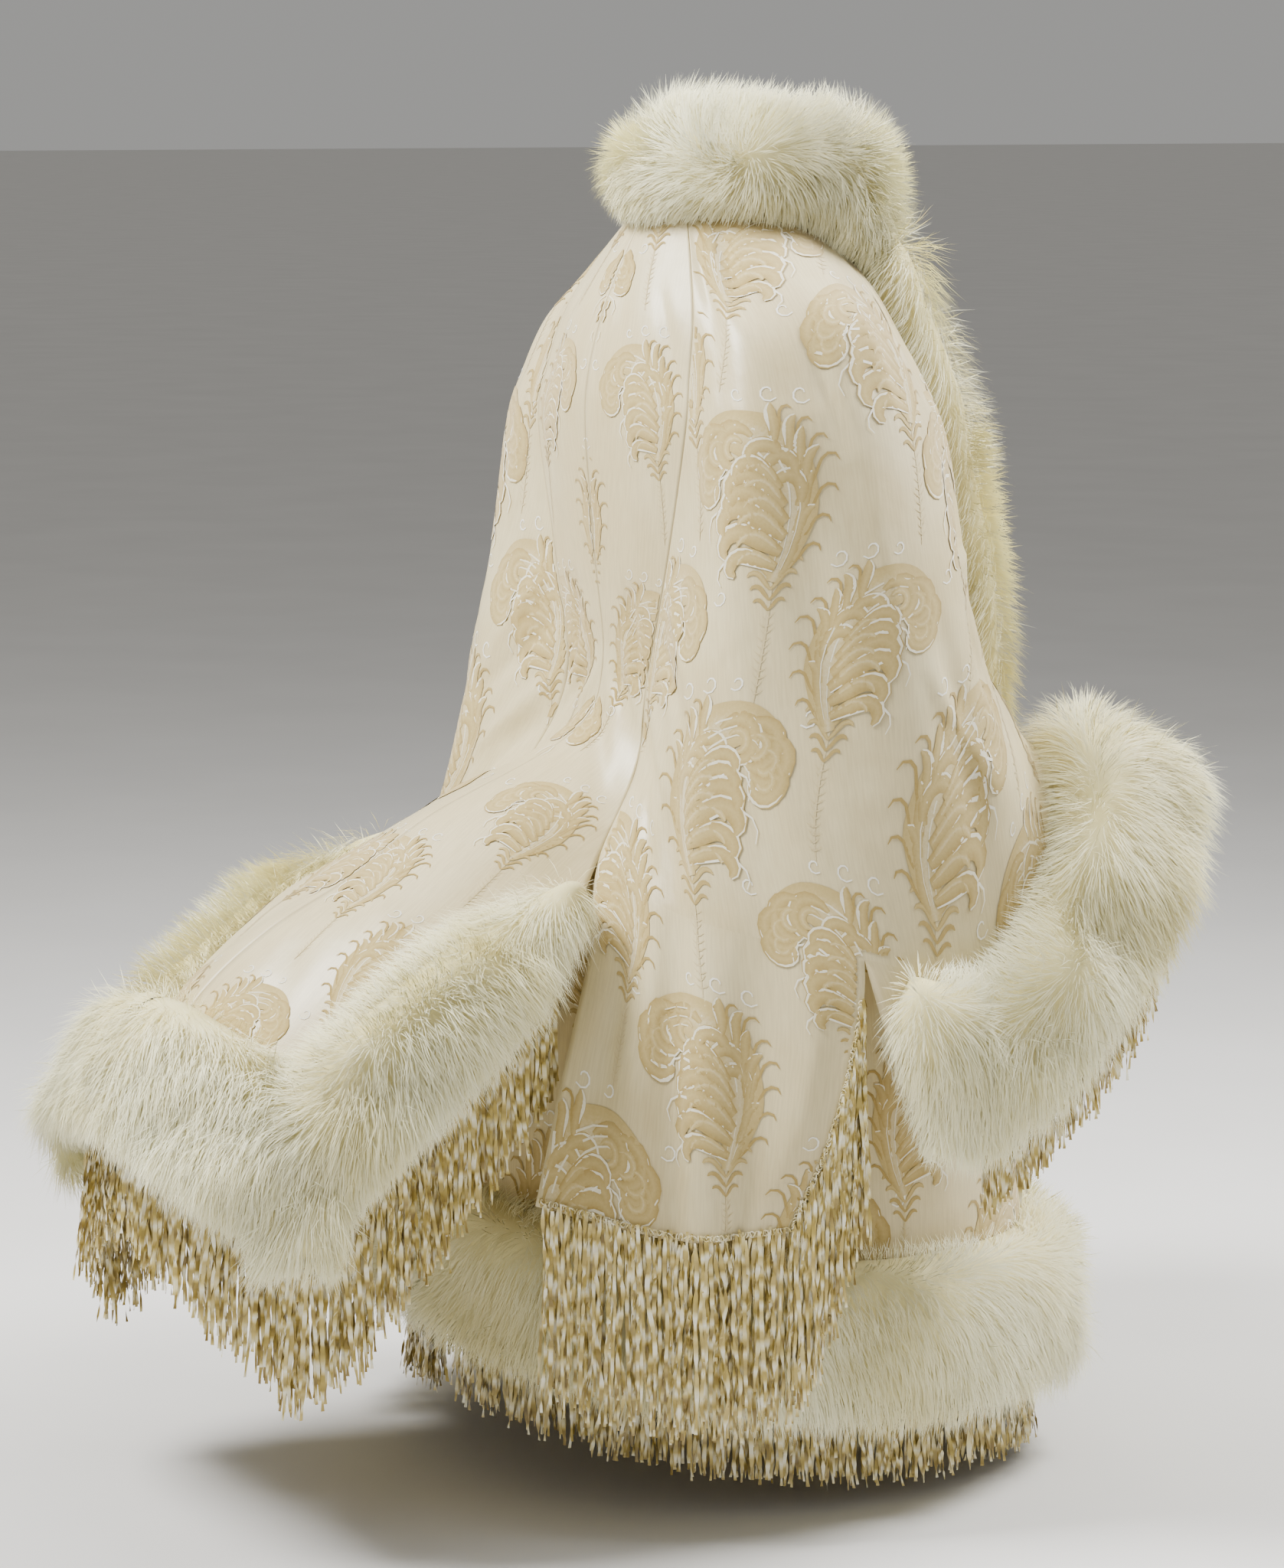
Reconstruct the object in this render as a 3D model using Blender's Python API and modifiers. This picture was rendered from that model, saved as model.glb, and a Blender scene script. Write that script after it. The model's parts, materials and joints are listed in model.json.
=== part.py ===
import math

import bmesh
import bpy
import numpy as np

for old in list(bpy.data.objects):
    bpy.data.objects.remove(old, do_unlink=True)

# Driving sizes in metres
CM = 0.01
CLOTH_WALL = 0.0016
SEAM_GAP = 0.0011
FUR_GAP = 0.0012
TAIL_FUR_GAP = 0.0026
FUR_RIM = 0.12
STRIP_WIDTH = 0.006
STRAND_WALL = 0.002
STRAND_SHARE = 0.66

COLLAR_FUR = 0.040
FRONT_FUR = 0.060
CUFF_FUR = 0.050
TAIL_FUR = 0.050
HEM_FUR = 0.042

TAIL_FRINGE = 0.105
PENDANT_FRINGE = 0.155
CUFF_FRINGE = 0.080
HEM_FRINGE = 0.062

# Lines of the right half in centimetres: x, y, z, one row for each level
# Front faces -y and the wearer's right is -x; the origin is the middle of the neck
# Levels: neck, nape, shoulder, upper blade, blade, bust, waist, hip, vent, then the tail
CENTRE_BACK = (
    (0, 8.3, 0.8),
    (0, 10.6, -3.8),
    (0, 12.0, -7.2),
    (0, 13.1, -11.5),
    (0, 13.35, -16.0),
    (0, 12.5, -26.0),
    (0, 11.8, -35.6),
    (0, 15.2, -40.8),
    (0, 27.5, -46.2),
    (0, 35.0, -50.8),
    (0, 42.4, -54.6),
    (0, 48.7, -59.7),
    (0, 55.0, -68.5),
)
BACK_MIDDLE = (
    (-2.3, 7.7, 1.05),
    (-4.1, 9.9, -3.5),
    (-5.4, 11.3, -7.1),
    (-6.0, 12.3, -11.5),
    (-6.2, 12.7, -16.0),
    (-4.7, 12.2, -26.1),
    (-3.3, 11.7, -35.8),
    (-4.2, 14.8, -41.5),
    (-6.3, 24.2, -46.6),
    (-9.0, 32.0, -51.2),
    (-10.8, 39.0, -56.2),
    (-11.6, 45.6, -62.6),
    (-11.5, 52.6, -72.0),
)
SIDE_BACK_SEAM = (
    (-4.5, 6.5, 1.2),
    (-8.0, 8.2, -3.0),
    (-10.5, 9.5, -7.0),
    (-11.6, 10.5, -11.5),
    (-12.0, 11.1, -16.0),
    (-9.2, 11.1, -26.3),
    (-6.5, 11.4, -36.0),
    (-8.2, 13.4, -42.6),
    (-11.0, 18.5, -49.4),
)
# The tail's vent edge, after the vent
TAIL_EDGE = (
    (-15.5, 25.0, -55.8),
    (-17.8, 32.3, -62.0),
    (-18.3, 40.2, -68.5),
    (-17.0, 48.0, -76.5),
)
# The sleeve's lines, from the seam round the arm to the front
ARM_BACK = (
    (-5.9, 4.8, 1.4),
    (-11.0, 6.6, -3.2),
    (-15.6, 8.2, -7.4),
    (-18.0, 9.3, -12.0),
    (-19.3, 10.1, -16.4),
    (-19.2, 11.5, -26.0),
    (-19.0, 13.4, -36.0),
    (-19.3, 14.8, -44.3),
    (-22.0, 16.4, -52.5),
)
SLIT_LINE = (
    (-7.0, 2.4, 1.5),
    (-13.0, 3.6, -2.8),
    (-17.8, 3.8, -7.0),
    (-20.5, 4.2, -11.7),
    (-22.4, 4.4, -16.2),
    (-24.8, 5.2, -26.0),
    (-27.0, 6.4, -36.0),
    (-29.6, 7.2, -45.5),
    (-32.0, 6.8, -55.0),
)
ARM_SIDE = (
    (-7.5, 0.0, 1.5),
    (-13.5, 0.0, -2.4),
    (-18.5, 0.0, -6.6),
    (-21.3, 0.0, -11.4),
    (-23.4, 0.0, -16.0),
    (-26.6, -0.5, -26.0),
    (-29.2, -1.0, -36.0),
    (-31.8, -1.5, -46.0),
    (-34.0, -2.4, -56.6),
)
ARM_FRONT = (
    (-7.4, -1.6, 1.2),
    (-12.9, -2.6, -3.0),
    (-17.4, -3.4, -7.3),
    (-20.0, -4.4, -12.0),
    (-22.0, -5.0, -16.3),
    (-24.9, -6.0, -26.0),
    (-27.3, -6.9, -34.5),
    (-29.8, -8.5, -41.5),
    (-32.0, -10.3, -48.3),
)
TOP_FOLD = (
    (-7.0, -3.0, 0.9),
    (-12.0, -4.6, -3.7),
    (-15.6, -6.0, -8.0),
    (-18.0, -7.3, -12.6),
    (-19.5, -8.0, -16.8),
    (-20.7, -8.8, -25.5),
    (-20.9, -9.9, -31.8),
    (-22.3, -12.0, -36.6),
    (-24.2, -14.6, -41.0),
)
FRONT_SEAM = (
    (-6.5, -4.0, 0.5),
    (-11.0, -6.2, -4.2),
    (-13.5, -7.5, -8.5),
    (-15.6, -8.6, -13.0),
    (-17.0, -9.4, -17.0),
    (-18.0, -10.2, -25.5),
    (-18.3, -10.6, -32.5),
    (-18.6, -11.3, -39.0),
    (-19.2, -13.0, -46.0),
)
# The pendant below the slit, one row for each level, columns rear, middle, front
PENDANT = (
    ((-14.8, 21.5, -56.0), (-24.6, 17.6, -60.0), (-32.2, 7.6, -61.5)),
    ((-18.0, 25.5, -64.0), (-26.6, 19.4, -68.0), (-32.0, 9.8, -69.0)),
    ((-20.0, 29.2, -74.2), (-28.0, 20.6, -76.4), (-31.0, 12.8, -76.0)),
)
# The cuff's edge, columns slit, side, front, fold, inner end
CUFF_EDGE = (
    (-34.0, 2.8, -69.5),
    (-35.3, -5.0, -66.5),
    (-33.8, -17.0, -56.5),
    (-27.2, -25.0, -46.0),
    (-21.5, -23.0, -52.0),
)
# Folds of the pendant: place across it, depth in centimetres, half width
PENDANT_FOLDS = ((0.62, 0.5, 0.2), (0.9, -0.7, 0.12), (1.18, 0.6, 0.16), (1.45, -0.6, 0.12))

# The front's lines, levels neck, nape, shoulder, upper chest, chest, underarm, waist, hip, thigh, hem
CENTRE_FRONT = (
    (-0.12, -9.0, -3.5),
    (-0.12, -11.2, -6.2),
    (-0.12, -13.6, -9.8),
    (-0.12, -15.7, -13.6),
    (-0.12, -17.3, -17.5),
    (-0.12, -18.8, -25.5),
    (-0.12, -19.6, -36.0),
    (-0.12, -20.6, -55.0),
    (-0.12, -21.5, -74.0),
    (-0.12, -22.3, -93.0),
)
CHEST = (
    (-4.0, -7.6, -1.2),
    (-6.8, -9.8, -5.0),
    (-8.0, -11.8, -9.2),
    (-8.8, -13.6, -13.3),
    (-9.3, -15.0, -17.2),
    (-9.8, -16.6, -25.5),
    (-10.4, -17.6, -36.0),
    (-11.6, -19.0, -55.0),
    (-12.6, -20.0, -74.0),
    (-13.0, -21.0, -93.0),
)
# Lines below the underarm: side front, side, side back, back edge
SIDE_FRONT = ((-17.7, -9.7, -36.0), (-21.0, -11.0, -55.0), (-22.4, -12.0, -74.0), (-23.0, -12.5, -92.0))
SIDE = (
    (-16.5, 0.0, -26.5),
    (-16.8, 0.0, -36.0),
    (-22.5, 1.5, -55.0),
    (-25.0, 2.0, -74.0),
    (-26.0, 2.0, -91.5),
)
SIDE_BACK = (
    (-12.0, 6.5, -26.5),
    (-11.0, 7.3, -36.0),
    (-16.0, 13.6, -54.0),
    (-19.0, 16.4, -72.5),
    (-19.6, 18.0, -89.5),
)
BACK_EDGE = (
    (-8.9, 10.75, -26.5),
    (-6.3, 11.05, -36.0),
    (-0.3, 17.6, -53.0),
    (-0.3, 23.2, -71.0),
    (-0.3, 26.2, -87.0),
)
# Collar rings from the top down: height over the neckline, back y, side x, front y of the inner face
COLLAR_RINGS = (
    (9.4, 1.9, 5.8, -7.8),
    (6.2, 3.6, 6.0, -9.6),
    (2.8, 5.5, 6.6, -10.4),
    (0.1, 8.0, 7.3, -9.5),
)
# The neckline's height, columns degrees from the back, height in centimetres
NECKLINE = ((0, 0.8), (36, 1.2), (90, 1.5), (125, 0.5), (150, -1.2), (180, -3.5))
COLLAR_END = 171
# The tail's band from the centre to the vent: inner place across and down, outer place across and down
TAIL_BAND = (
    (1.03, 11.05, 1.03, 12.0),
    (1.45, 11.06, 1.6, 12.0),
    (1.9, 11.1, 2.3, 12.0),
    (2.16, 11.1, 3.0, 12.0),
    (2.2, 10.85, 3.0, 11.2),
    (2.25, 10.4, 3.0, 10.4),
    (2.35, 9.7, 3.0, 9.6),
    (2.55, 9.0, 3.0, 8.9),
    (2.8, 8.5, 3.0, 8.45),
)
OVERHANG = 0.018
# The front band's height, columns row of the band, share of its full height
FRONT_FUR_SHARES = ((0, 0.84), (3, 0.88), (7, 0.78), (9, 0.68), (11, 0.48), (13, 0.42))


def spline(points, t):
    points = np.asarray(points, float)
    last = len(points) - 1
    i = min(max(int(math.floor(t)), 0), last - 1)
    f = min(max(t - i, 0.0), 1.0)
    p1 = points[i]
    p2 = points[i + 1]
    p0 = points[i - 1] if i > 0 else 2 * p1 - p2
    p3 = points[i + 2] if i + 2 <= last else 2 * p2 - p1
    linear = (p2 - p0) * f
    square = (2 * p0 - 5 * p1 + 4 * p2 - p3) * f**2
    cube = (3 * p1 - p0 - 3 * p2 + p3) * f**3
    return 0.5 * (2 * p1 + linear + square + cube)


def spline_rows(table, count):
    return [spline(table, k * (len(table) - 1) / (count - 1)) for k in range(count)]


def patch(lines):
    lines = [np.asarray(line, float) * CM for line in lines]

    def at(s, t):
        return spline([spline(line, t) for line in lines], s)

    return at


def normal_at(at, s, t, step=0.02):
    across = at(s + step, t) - at(s - step, t)
    down = at(s, t + step) - at(s, t - step)
    out = np.cross(down, across)
    return out / max(np.linalg.norm(out), 1e-9)


def mirrored(line):
    return [(-x, y, z) for x, y, z in line]


def steps(*spans):
    values = [float(spans[0][0])]
    for start, end, count in spans:
        values += [start + (end - start) * (k + 1) / count for k in range(count)]
    return values


def pull_in(rows, left=True, right=True):
    grid = np.array(rows)
    if left:
        way = grid[:, 1] - grid[:, 0]
        grid[:, 0] += way / np.linalg.norm(way, axis=1)[:, None] * SEAM_GAP / 2
    if right:
        way = grid[:, -2] - grid[:, -1]
        grid[:, -1] += way / np.linalg.norm(way, axis=1)[:, None] * SEAM_GAP / 2
    return grid


def material(name, colour, roughness):
    made = bpy.data.materials.new(name)
    made.use_nodes = True
    shader = made.node_tree.nodes["Principled BSDF"]
    shader.inputs["Base Color"].default_value = (*colour, 1)
    shader.inputs["Roughness"].default_value = roughness
    return made


mantle = bpy.data.collections.new("dolman_mantle")
bpy.context.scene.collection.children.link(mantle)


def add_grid(bm, points):
    rows, columns = points.shape[:2]
    made = bmesh.ops.create_grid(bm, x_segments=columns - 1, y_segments=rows - 1, size=1)["verts"]
    for vert in made:
        column = round((vert.co.x + 1) / 2 * (columns - 1))
        row = round((1 - vert.co.y) / 2 * (rows - 1))
        vert.co = points[row, column]


def sheet_object(name, grids, look, left, wall, offset, weights=None):
    bm = bmesh.new()
    for points in grids:
        add_grid(bm, points)
    bmesh.ops.remove_doubles(bm, verts=bm.verts[:], dist=1e-5)
    if left:
        for vert in bm.verts:
            vert.co.x = -vert.co.x
        bmesh.ops.reverse_faces(bm, faces=bm.faces[:])
    mesh = bpy.data.meshes.new(name)
    bm.to_mesh(mesh)
    bm.free()
    obj = bpy.data.objects.new(name, mesh)
    mantle.objects.link(obj)
    mesh.materials.append(look)
    solid = obj.modifiers.new("wall", "SOLIDIFY")
    solid.thickness = wall
    solid.offset = offset
    solid.use_even_offset = False
    if weights is not None:
        group = obj.vertex_groups.new(name="crown")
        places = np.array([v.co[:] for v in mesh.vertices])
        flat = grids[0].reshape(-1, 3).copy()
        if left:
            flat[:, 0] = -flat[:, 0]
        for number, place in enumerate(places):
            nearest = np.argmin(np.linalg.norm(flat - place, axis=1))
            group.add([number], float(weights.reshape(-1)[nearest]), "REPLACE")
        solid.vertex_group = "crown"
    return obj


def cloth(name, grids, left):
    return sheet_object(name, grids, material(name + "_cloth", (0.86, 0.82, 0.74), 0.5), left, CLOTH_WALL, -1)


def crown(rows, columns, power=2.4):
    down = np.linspace(-1, 1, rows)[:, None]
    along = np.linspace(-1, 1, columns)[None, :]
    round_down = (1 - np.abs(down) ** power) ** (1 / power)
    round_along = (1 - np.abs(along) ** 10) ** 0.25
    return FUR_RIM + (1 - FUR_RIM) * round_down * round_along


def fur(name, base, high, left, weights=None):
    look = material(name + "_fur", (0.84, 0.80, 0.66), 0.9)
    shares = crown(*base.shape[:2]) if weights is None else weights
    return sheet_object(name, [base], look, left, high, 1, shares)


def fringe(name, top, out, length, count, left):
    # top holds the strip's upper line as a function of 0 to 1, out gives the way off the cloth
    look = material(name + "_silk", (0.86, 0.78, 0.62), 0.35)
    bm = bmesh.new()
    upper = []
    lower = []
    places = []
    for k in range(count):
        places += [(k + (1 - STRAND_SHARE) / 2) / count, (k + (1 + STRAND_SHARE) / 2) / count]
    for place in places:
        start = top(place)
        upper.append(bm.verts.new(start))
        lower.append(bm.verts.new(start + out(place) * STRIP_WIDTH))
    for k in range(len(places) - 1):
        bm.faces.new((upper[k], lower[k], lower[k + 1], upper[k + 1]))
    for k in range(count):
        a = lower[2 * k]
        b = lower[2 * k + 1]
        reach = length((places[2 * k] + places[2 * k + 1]) / 2)
        middle = (a.co + b.co) / 2
        taper = 0.8
        drop = a.co.copy()
        drop.xyz = (0, 0, -reach)
        c = bm.verts.new(middle + (b.co - middle) * taper + drop)
        d = bm.verts.new(middle + (a.co - middle) * taper + drop)
        bm.faces.new((a, d, c, b))
    if left:
        for vert in bm.verts:
            vert.co.x = -vert.co.x
    bmesh.ops.recalc_face_normals(bm, faces=bm.faces[:])
    mesh = bpy.data.meshes.new(name)
    bm.to_mesh(mesh)
    bm.free()
    obj = bpy.data.objects.new(name, mesh)
    mantle.objects.link(obj)
    mesh.materials.append(look)
    solid = obj.modifiers.new("wall", "SOLIDIFY")
    solid.thickness = STRAND_WALL
    solid.offset = 0
    solid.use_even_offset = False
    return obj


def along(points):
    # A line through the points, walked by its own length
    points = np.array(points)
    walked = np.concatenate([[0], np.cumsum(np.linalg.norm(np.diff(points, axis=0), axis=1))])
    walked /= walked[-1]

    def at(share):
        return np.array([np.interp(share, walked, points[:, axis]) for axis in range(3)])

    return at


# Surfaces of the right half
back_edge_line = list(SIDE_BACK_SEAM) + list(TAIL_EDGE)
back_at = patch([mirrored(BACK_MIDDLE), CENTRE_BACK, BACK_MIDDLE, back_edge_line])

pendant_rear = list(SIDE_BACK_SEAM) + [row[0] for row in PENDANT]
pendant_middle = list(ARM_BACK) + [row[1] for row in PENDANT]
pendant_front = list(SLIT_LINE) + [row[2] for row in PENDANT]
past_front = list(ARM_SIDE) + [(x - 0.4, y - 6.0, z) for x, y, z in pendant_front[9:]]
cuff_lines = [SLIT_LINE, ARM_SIDE, ARM_FRONT, TOP_FOLD, FRONT_SEAM]
with_cuff = [list(line) + [edge] for line, edge in zip(cuff_lines, CUFF_EDGE)]
sleeve_smooth = patch([pendant_rear[:10], pendant_middle[:10], pendant_front[:10]] + with_cuff[1:])
pendant_smooth = patch([pendant_rear, pendant_middle, pendant_front, past_front])
before_slit = list(ARM_BACK) + [(-32.5, 9.5, -71.5)]
cuff_at = patch([before_slit] + with_cuff)


def pleated(at):
    def folded(s, t):
        place = at(s, t)
        deep = min(max((t - 6.3) / 4.2, 0.0), 1.0)
        depth = sum(d * math.exp(-(((s - c) / w) ** 2)) for c, d, w in PENDANT_FOLDS)
        return place + normal_at(at, s, t) * depth * CM * deep

    return folded


sleeve_at = pleated(sleeve_smooth)
pendant_at = pleated(pendant_smooth)

front_edge = list(CENTRE_FRONT)
side_front = list(FRONT_SEAM[:6]) + list(SIDE_FRONT)
past_back = [tuple(2 * a - b for a, b in zip(p, q)) for p, q in zip(BACK_EDGE[:2], SIDE_BACK[:2])]
past_back += mirrored(SIDE_BACK[2:])
yoke_at = patch([side_front, CHEST, front_edge, mirrored(CHEST)])
skirt_lines = [BACK_EDGE, SIDE_BACK, SIDE, side_front[5:], CHEST[5:], front_edge[5:]]
skirt_at = patch([past_back] + skirt_lines + [mirrored(CHEST[5:])])

BACK_S = steps((1, 2, 3), (2, 3, 4))
BACK_T = steps((0, 4, 4), (4, 6, 4), (6, 8, 6), (8, 12, 12))
SEAM_T = steps((0, 4, 4), (4, 6, 4), (6, 8, 6))
PENDANT_S = [0, 0.2, 0.42, 0.62, 0.78, 0.9, 1.02, 1.18, 1.33, 1.45, 1.57, 1.8, 2]
SLEEVE_S = PENDANT_S + steps((2, 3, 2), (3, 4, 3), (4, 5, 4), (5, 6, 3))[1:]
PENDANT_T = steps((8, 11, 6))
CUFF_S = [s - 1 for s in SLEEVE_S if s >= 2]
CUFF_T = steps((8, 9, 4))
YOKE_S = steps((0, 1, 3), (1, 2, 3))
YOKE_T = steps((0, 4, 4), (4, 5, 2))
SKIRT_S = steps((1, 2, 3), (2, 3, 2), (3, 4, 3), (4, 5, 3), (5, 6, 3))
SKIRT_T = [0, 0.5, 1, 1.33, 1.66, 2, 2.5, 3, 3.37, 3.7, 4]


def sample(at, s_values, t_values):
    return np.array([[at(s, t) for s in s_values] for t in t_values])


def moved_out(at, s_values, t_values, gap):
    return np.array([[at(s, t) + normal_at(at, s, t) * gap for s in s_values] for t in t_values])


def past_edge(rows, reach):
    # One more row beyond the last, along the way the cloth is going
    way = rows[-1] - rows[-2]
    way /= np.linalg.norm(way, axis=1)[:, None]
    return np.concatenate([rows, (rows[-1] + way * reach)[None]])


for left in (False, True):
    side = "left" if left else "right"

    back = pull_in(sample(back_at, BACK_S, BACK_T))
    cloth("back_" + side, [back], left)

    upper = sample(sleeve_at, SLEEVE_S, SEAM_T)
    pendant = sample(pendant_at, PENDANT_S, PENDANT_T)
    cuff = sample(cuff_at, CUFF_S, CUFF_T)
    pendant[0] = upper[-1, : len(PENDANT_S)]
    cuff[0] = upper[-1, len(PENDANT_S) - 1 :]
    upper = pull_in(upper)
    pendant[:, 0] = pull_in(pendant, right=False)[:, 0]
    cuff[:, -1] = pull_in(cuff, left=False)[:, -1]
    pendant[0] = upper[-1, : len(PENDANT_S)]
    cuff[0] = upper[-1, len(PENDANT_S) - 1 :]
    cloth("sleeve_" + side, [upper, pendant, cuff], left)

    yoke = pull_in(sample(yoke_at, YOKE_S, YOKE_T))
    skirt = pull_in(sample(skirt_at, SKIRT_S, SKIRT_T))
    skirt[:, :, 0] = np.minimum(skirt[:, :, 0], -SEAM_GAP)
    skirt[0, 8:] = yoke[-1]
    cloth("front_" + side, [yoke, skirt], left)

    # Fur lies on the panels' own points, moved out
    chest_rows = moved_out(yoke_at, steps((1.04, 1.96, 4)), [0.2, 0.48, 1, 2, 3, 4, 4.5], FUR_GAP)
    waist_rows = moved_out(skirt_at, steps((5.04, 5.96, 4)), [0, 0.5, 1, 1.66, 2.33, 3, 3.3], FUR_GAP)
    band = np.concatenate([chest_rows, waist_rows])
    shares = crown(5, len(band)).T
    shares *= np.interp(np.arange(len(band)), *zip(*FRONT_FUR_SHARES))[:, None]
    fur("front_fur_" + side, band, FRONT_FUR, left, np.maximum(shares, 0.07))

    hem_rows = moved_out(skirt_at, [1.05] + SKIRT_S[1:-1] + [5.95], [3.37, 3.53, 3.7, 3.85, 3.98], FUR_GAP)
    fur("hem_fur_" + side, past_edge(hem_rows, OVERHANG), HEM_FUR, left)

    tail_rows = []
    for k in range(17):
        inner_s, inner_t, outer_s, outer_t = spline(TAIL_BAND, k / 2)
        shares = [w / 4 for w in range(5)]
        places = [(inner_s + (outer_s - inner_s) * w, inner_t + (outer_t - inner_t) * w) for w in shares]
        tail_rows.append([back_at(s, t) + normal_at(back_at, s, t) * TAIL_FUR_GAP for s, t in places])
    tail_rows = np.array(tail_rows).transpose(1, 0, 2)
    thin = crown(6, 17)
    thin[:, -6:] *= np.linspace(1.0, 0.8, 6)
    fur("tail_fur_" + side, past_edge(tail_rows, OVERHANG), TAIL_FUR, left, np.maximum(thin, 0.06))

    cuff_rows = []
    for s in [1.04] + CUFF_S[1:-1] + [4.94]:
        rows = [8.4, 8.55, 8.7, 8.85, 8.98] if s < 1.1 else [8.02, 8.25, 8.5, 8.75, 8.98]
        cuff_rows.append([cuff_at(s, t) + normal_at(cuff_at, s, t) * FUR_GAP for t in rows])
    cuff_rows = np.array(cuff_rows).transpose(1, 0, 2)
    fur("cuff_fur_" + side, past_edge(cuff_rows, OVERHANG), CUFF_FUR, left)

    # Fringe strips start just past the cloth's edge
    def edge_line(at, places):
        inside = CLOTH_WALL
        return along([at(s, t) - normal_at(at, s, t) * inside for s, t in places])

    down = np.array((0, 0, -1.0))
    hem_line = edge_line(skirt_at, [(s, 4.0) for s in [1.06] + SKIRT_S[1:-1] + [5.94]])
    hem_out = lambda share: down
    fringe("hem_fringe_" + side, lambda k: hem_line(k) + down * 0.0014, hem_out, lambda k: HEM_FRINGE, 34, left)

    tail_places = [(s, 12.0) for s in [1.04] + BACK_S[1:]] + [(3.0, t) for t in BACK_T[-2:-8:-1]]
    tail_line = edge_line(back_at, tail_places)
    fringe("tail_fringe_" + side, lambda k: tail_line(k) + down * 0.0024, hem_out, lambda k: TAIL_FRINGE, 24, left)

    pendant_places = [(2.0, t) for t in PENDANT_T[1:]] + [(s, 11.0) for s in PENDANT_S[-2:0:-1]] + [(0.05, 11.0)]
    pendant_line = edge_line(pendant_at, pendant_places)

    def pendant_out(share):
        forward = np.array((-0.05, -0.95, -0.3))
        blend = min(max((share - 0.42) / 0.1, 0.0), 1.0)
        way = forward * (1 - blend) + down * blend
        return way / np.linalg.norm(way)

    fringe(
        "pendant_fringe_" + side,
        lambda k: pendant_line(k) + pendant_out(k) * 0.0016,
        pendant_out,
        lambda k: PENDANT_FRINGE,
        30,
        left,
    )

    cuff_line = edge_line(cuff_at, [(s, 9.0) for s in CUFF_S if 1.3 < s < 3.7])
    fringe("cuff_fringe_" + side, lambda k: cuff_line(k) + down * 0.0014, hem_out, lambda k: CUFF_FRINGE, 16, left)

collar_rows = []
for height, back_y, side_x, front_y in spline_rows(COLLAR_RINGS, 7):
    row = []
    for k in range(25):
        turn = math.radians(-COLLAR_END + 2 * COLLAR_END * k / 24)
        low = np.interp(abs(math.degrees(turn)), *zip(*NECKLINE))
        middle = (back_y + front_y) / 2
        reach = (back_y - front_y) / 2
        row.append((-side_x * math.sin(turn), middle + reach * math.cos(turn), height + low))
    collar_rows.append(row)
fur("collar_fur", np.array(collar_rows) * CM, COLLAR_FUR, False)
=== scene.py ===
import json
import math

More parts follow.
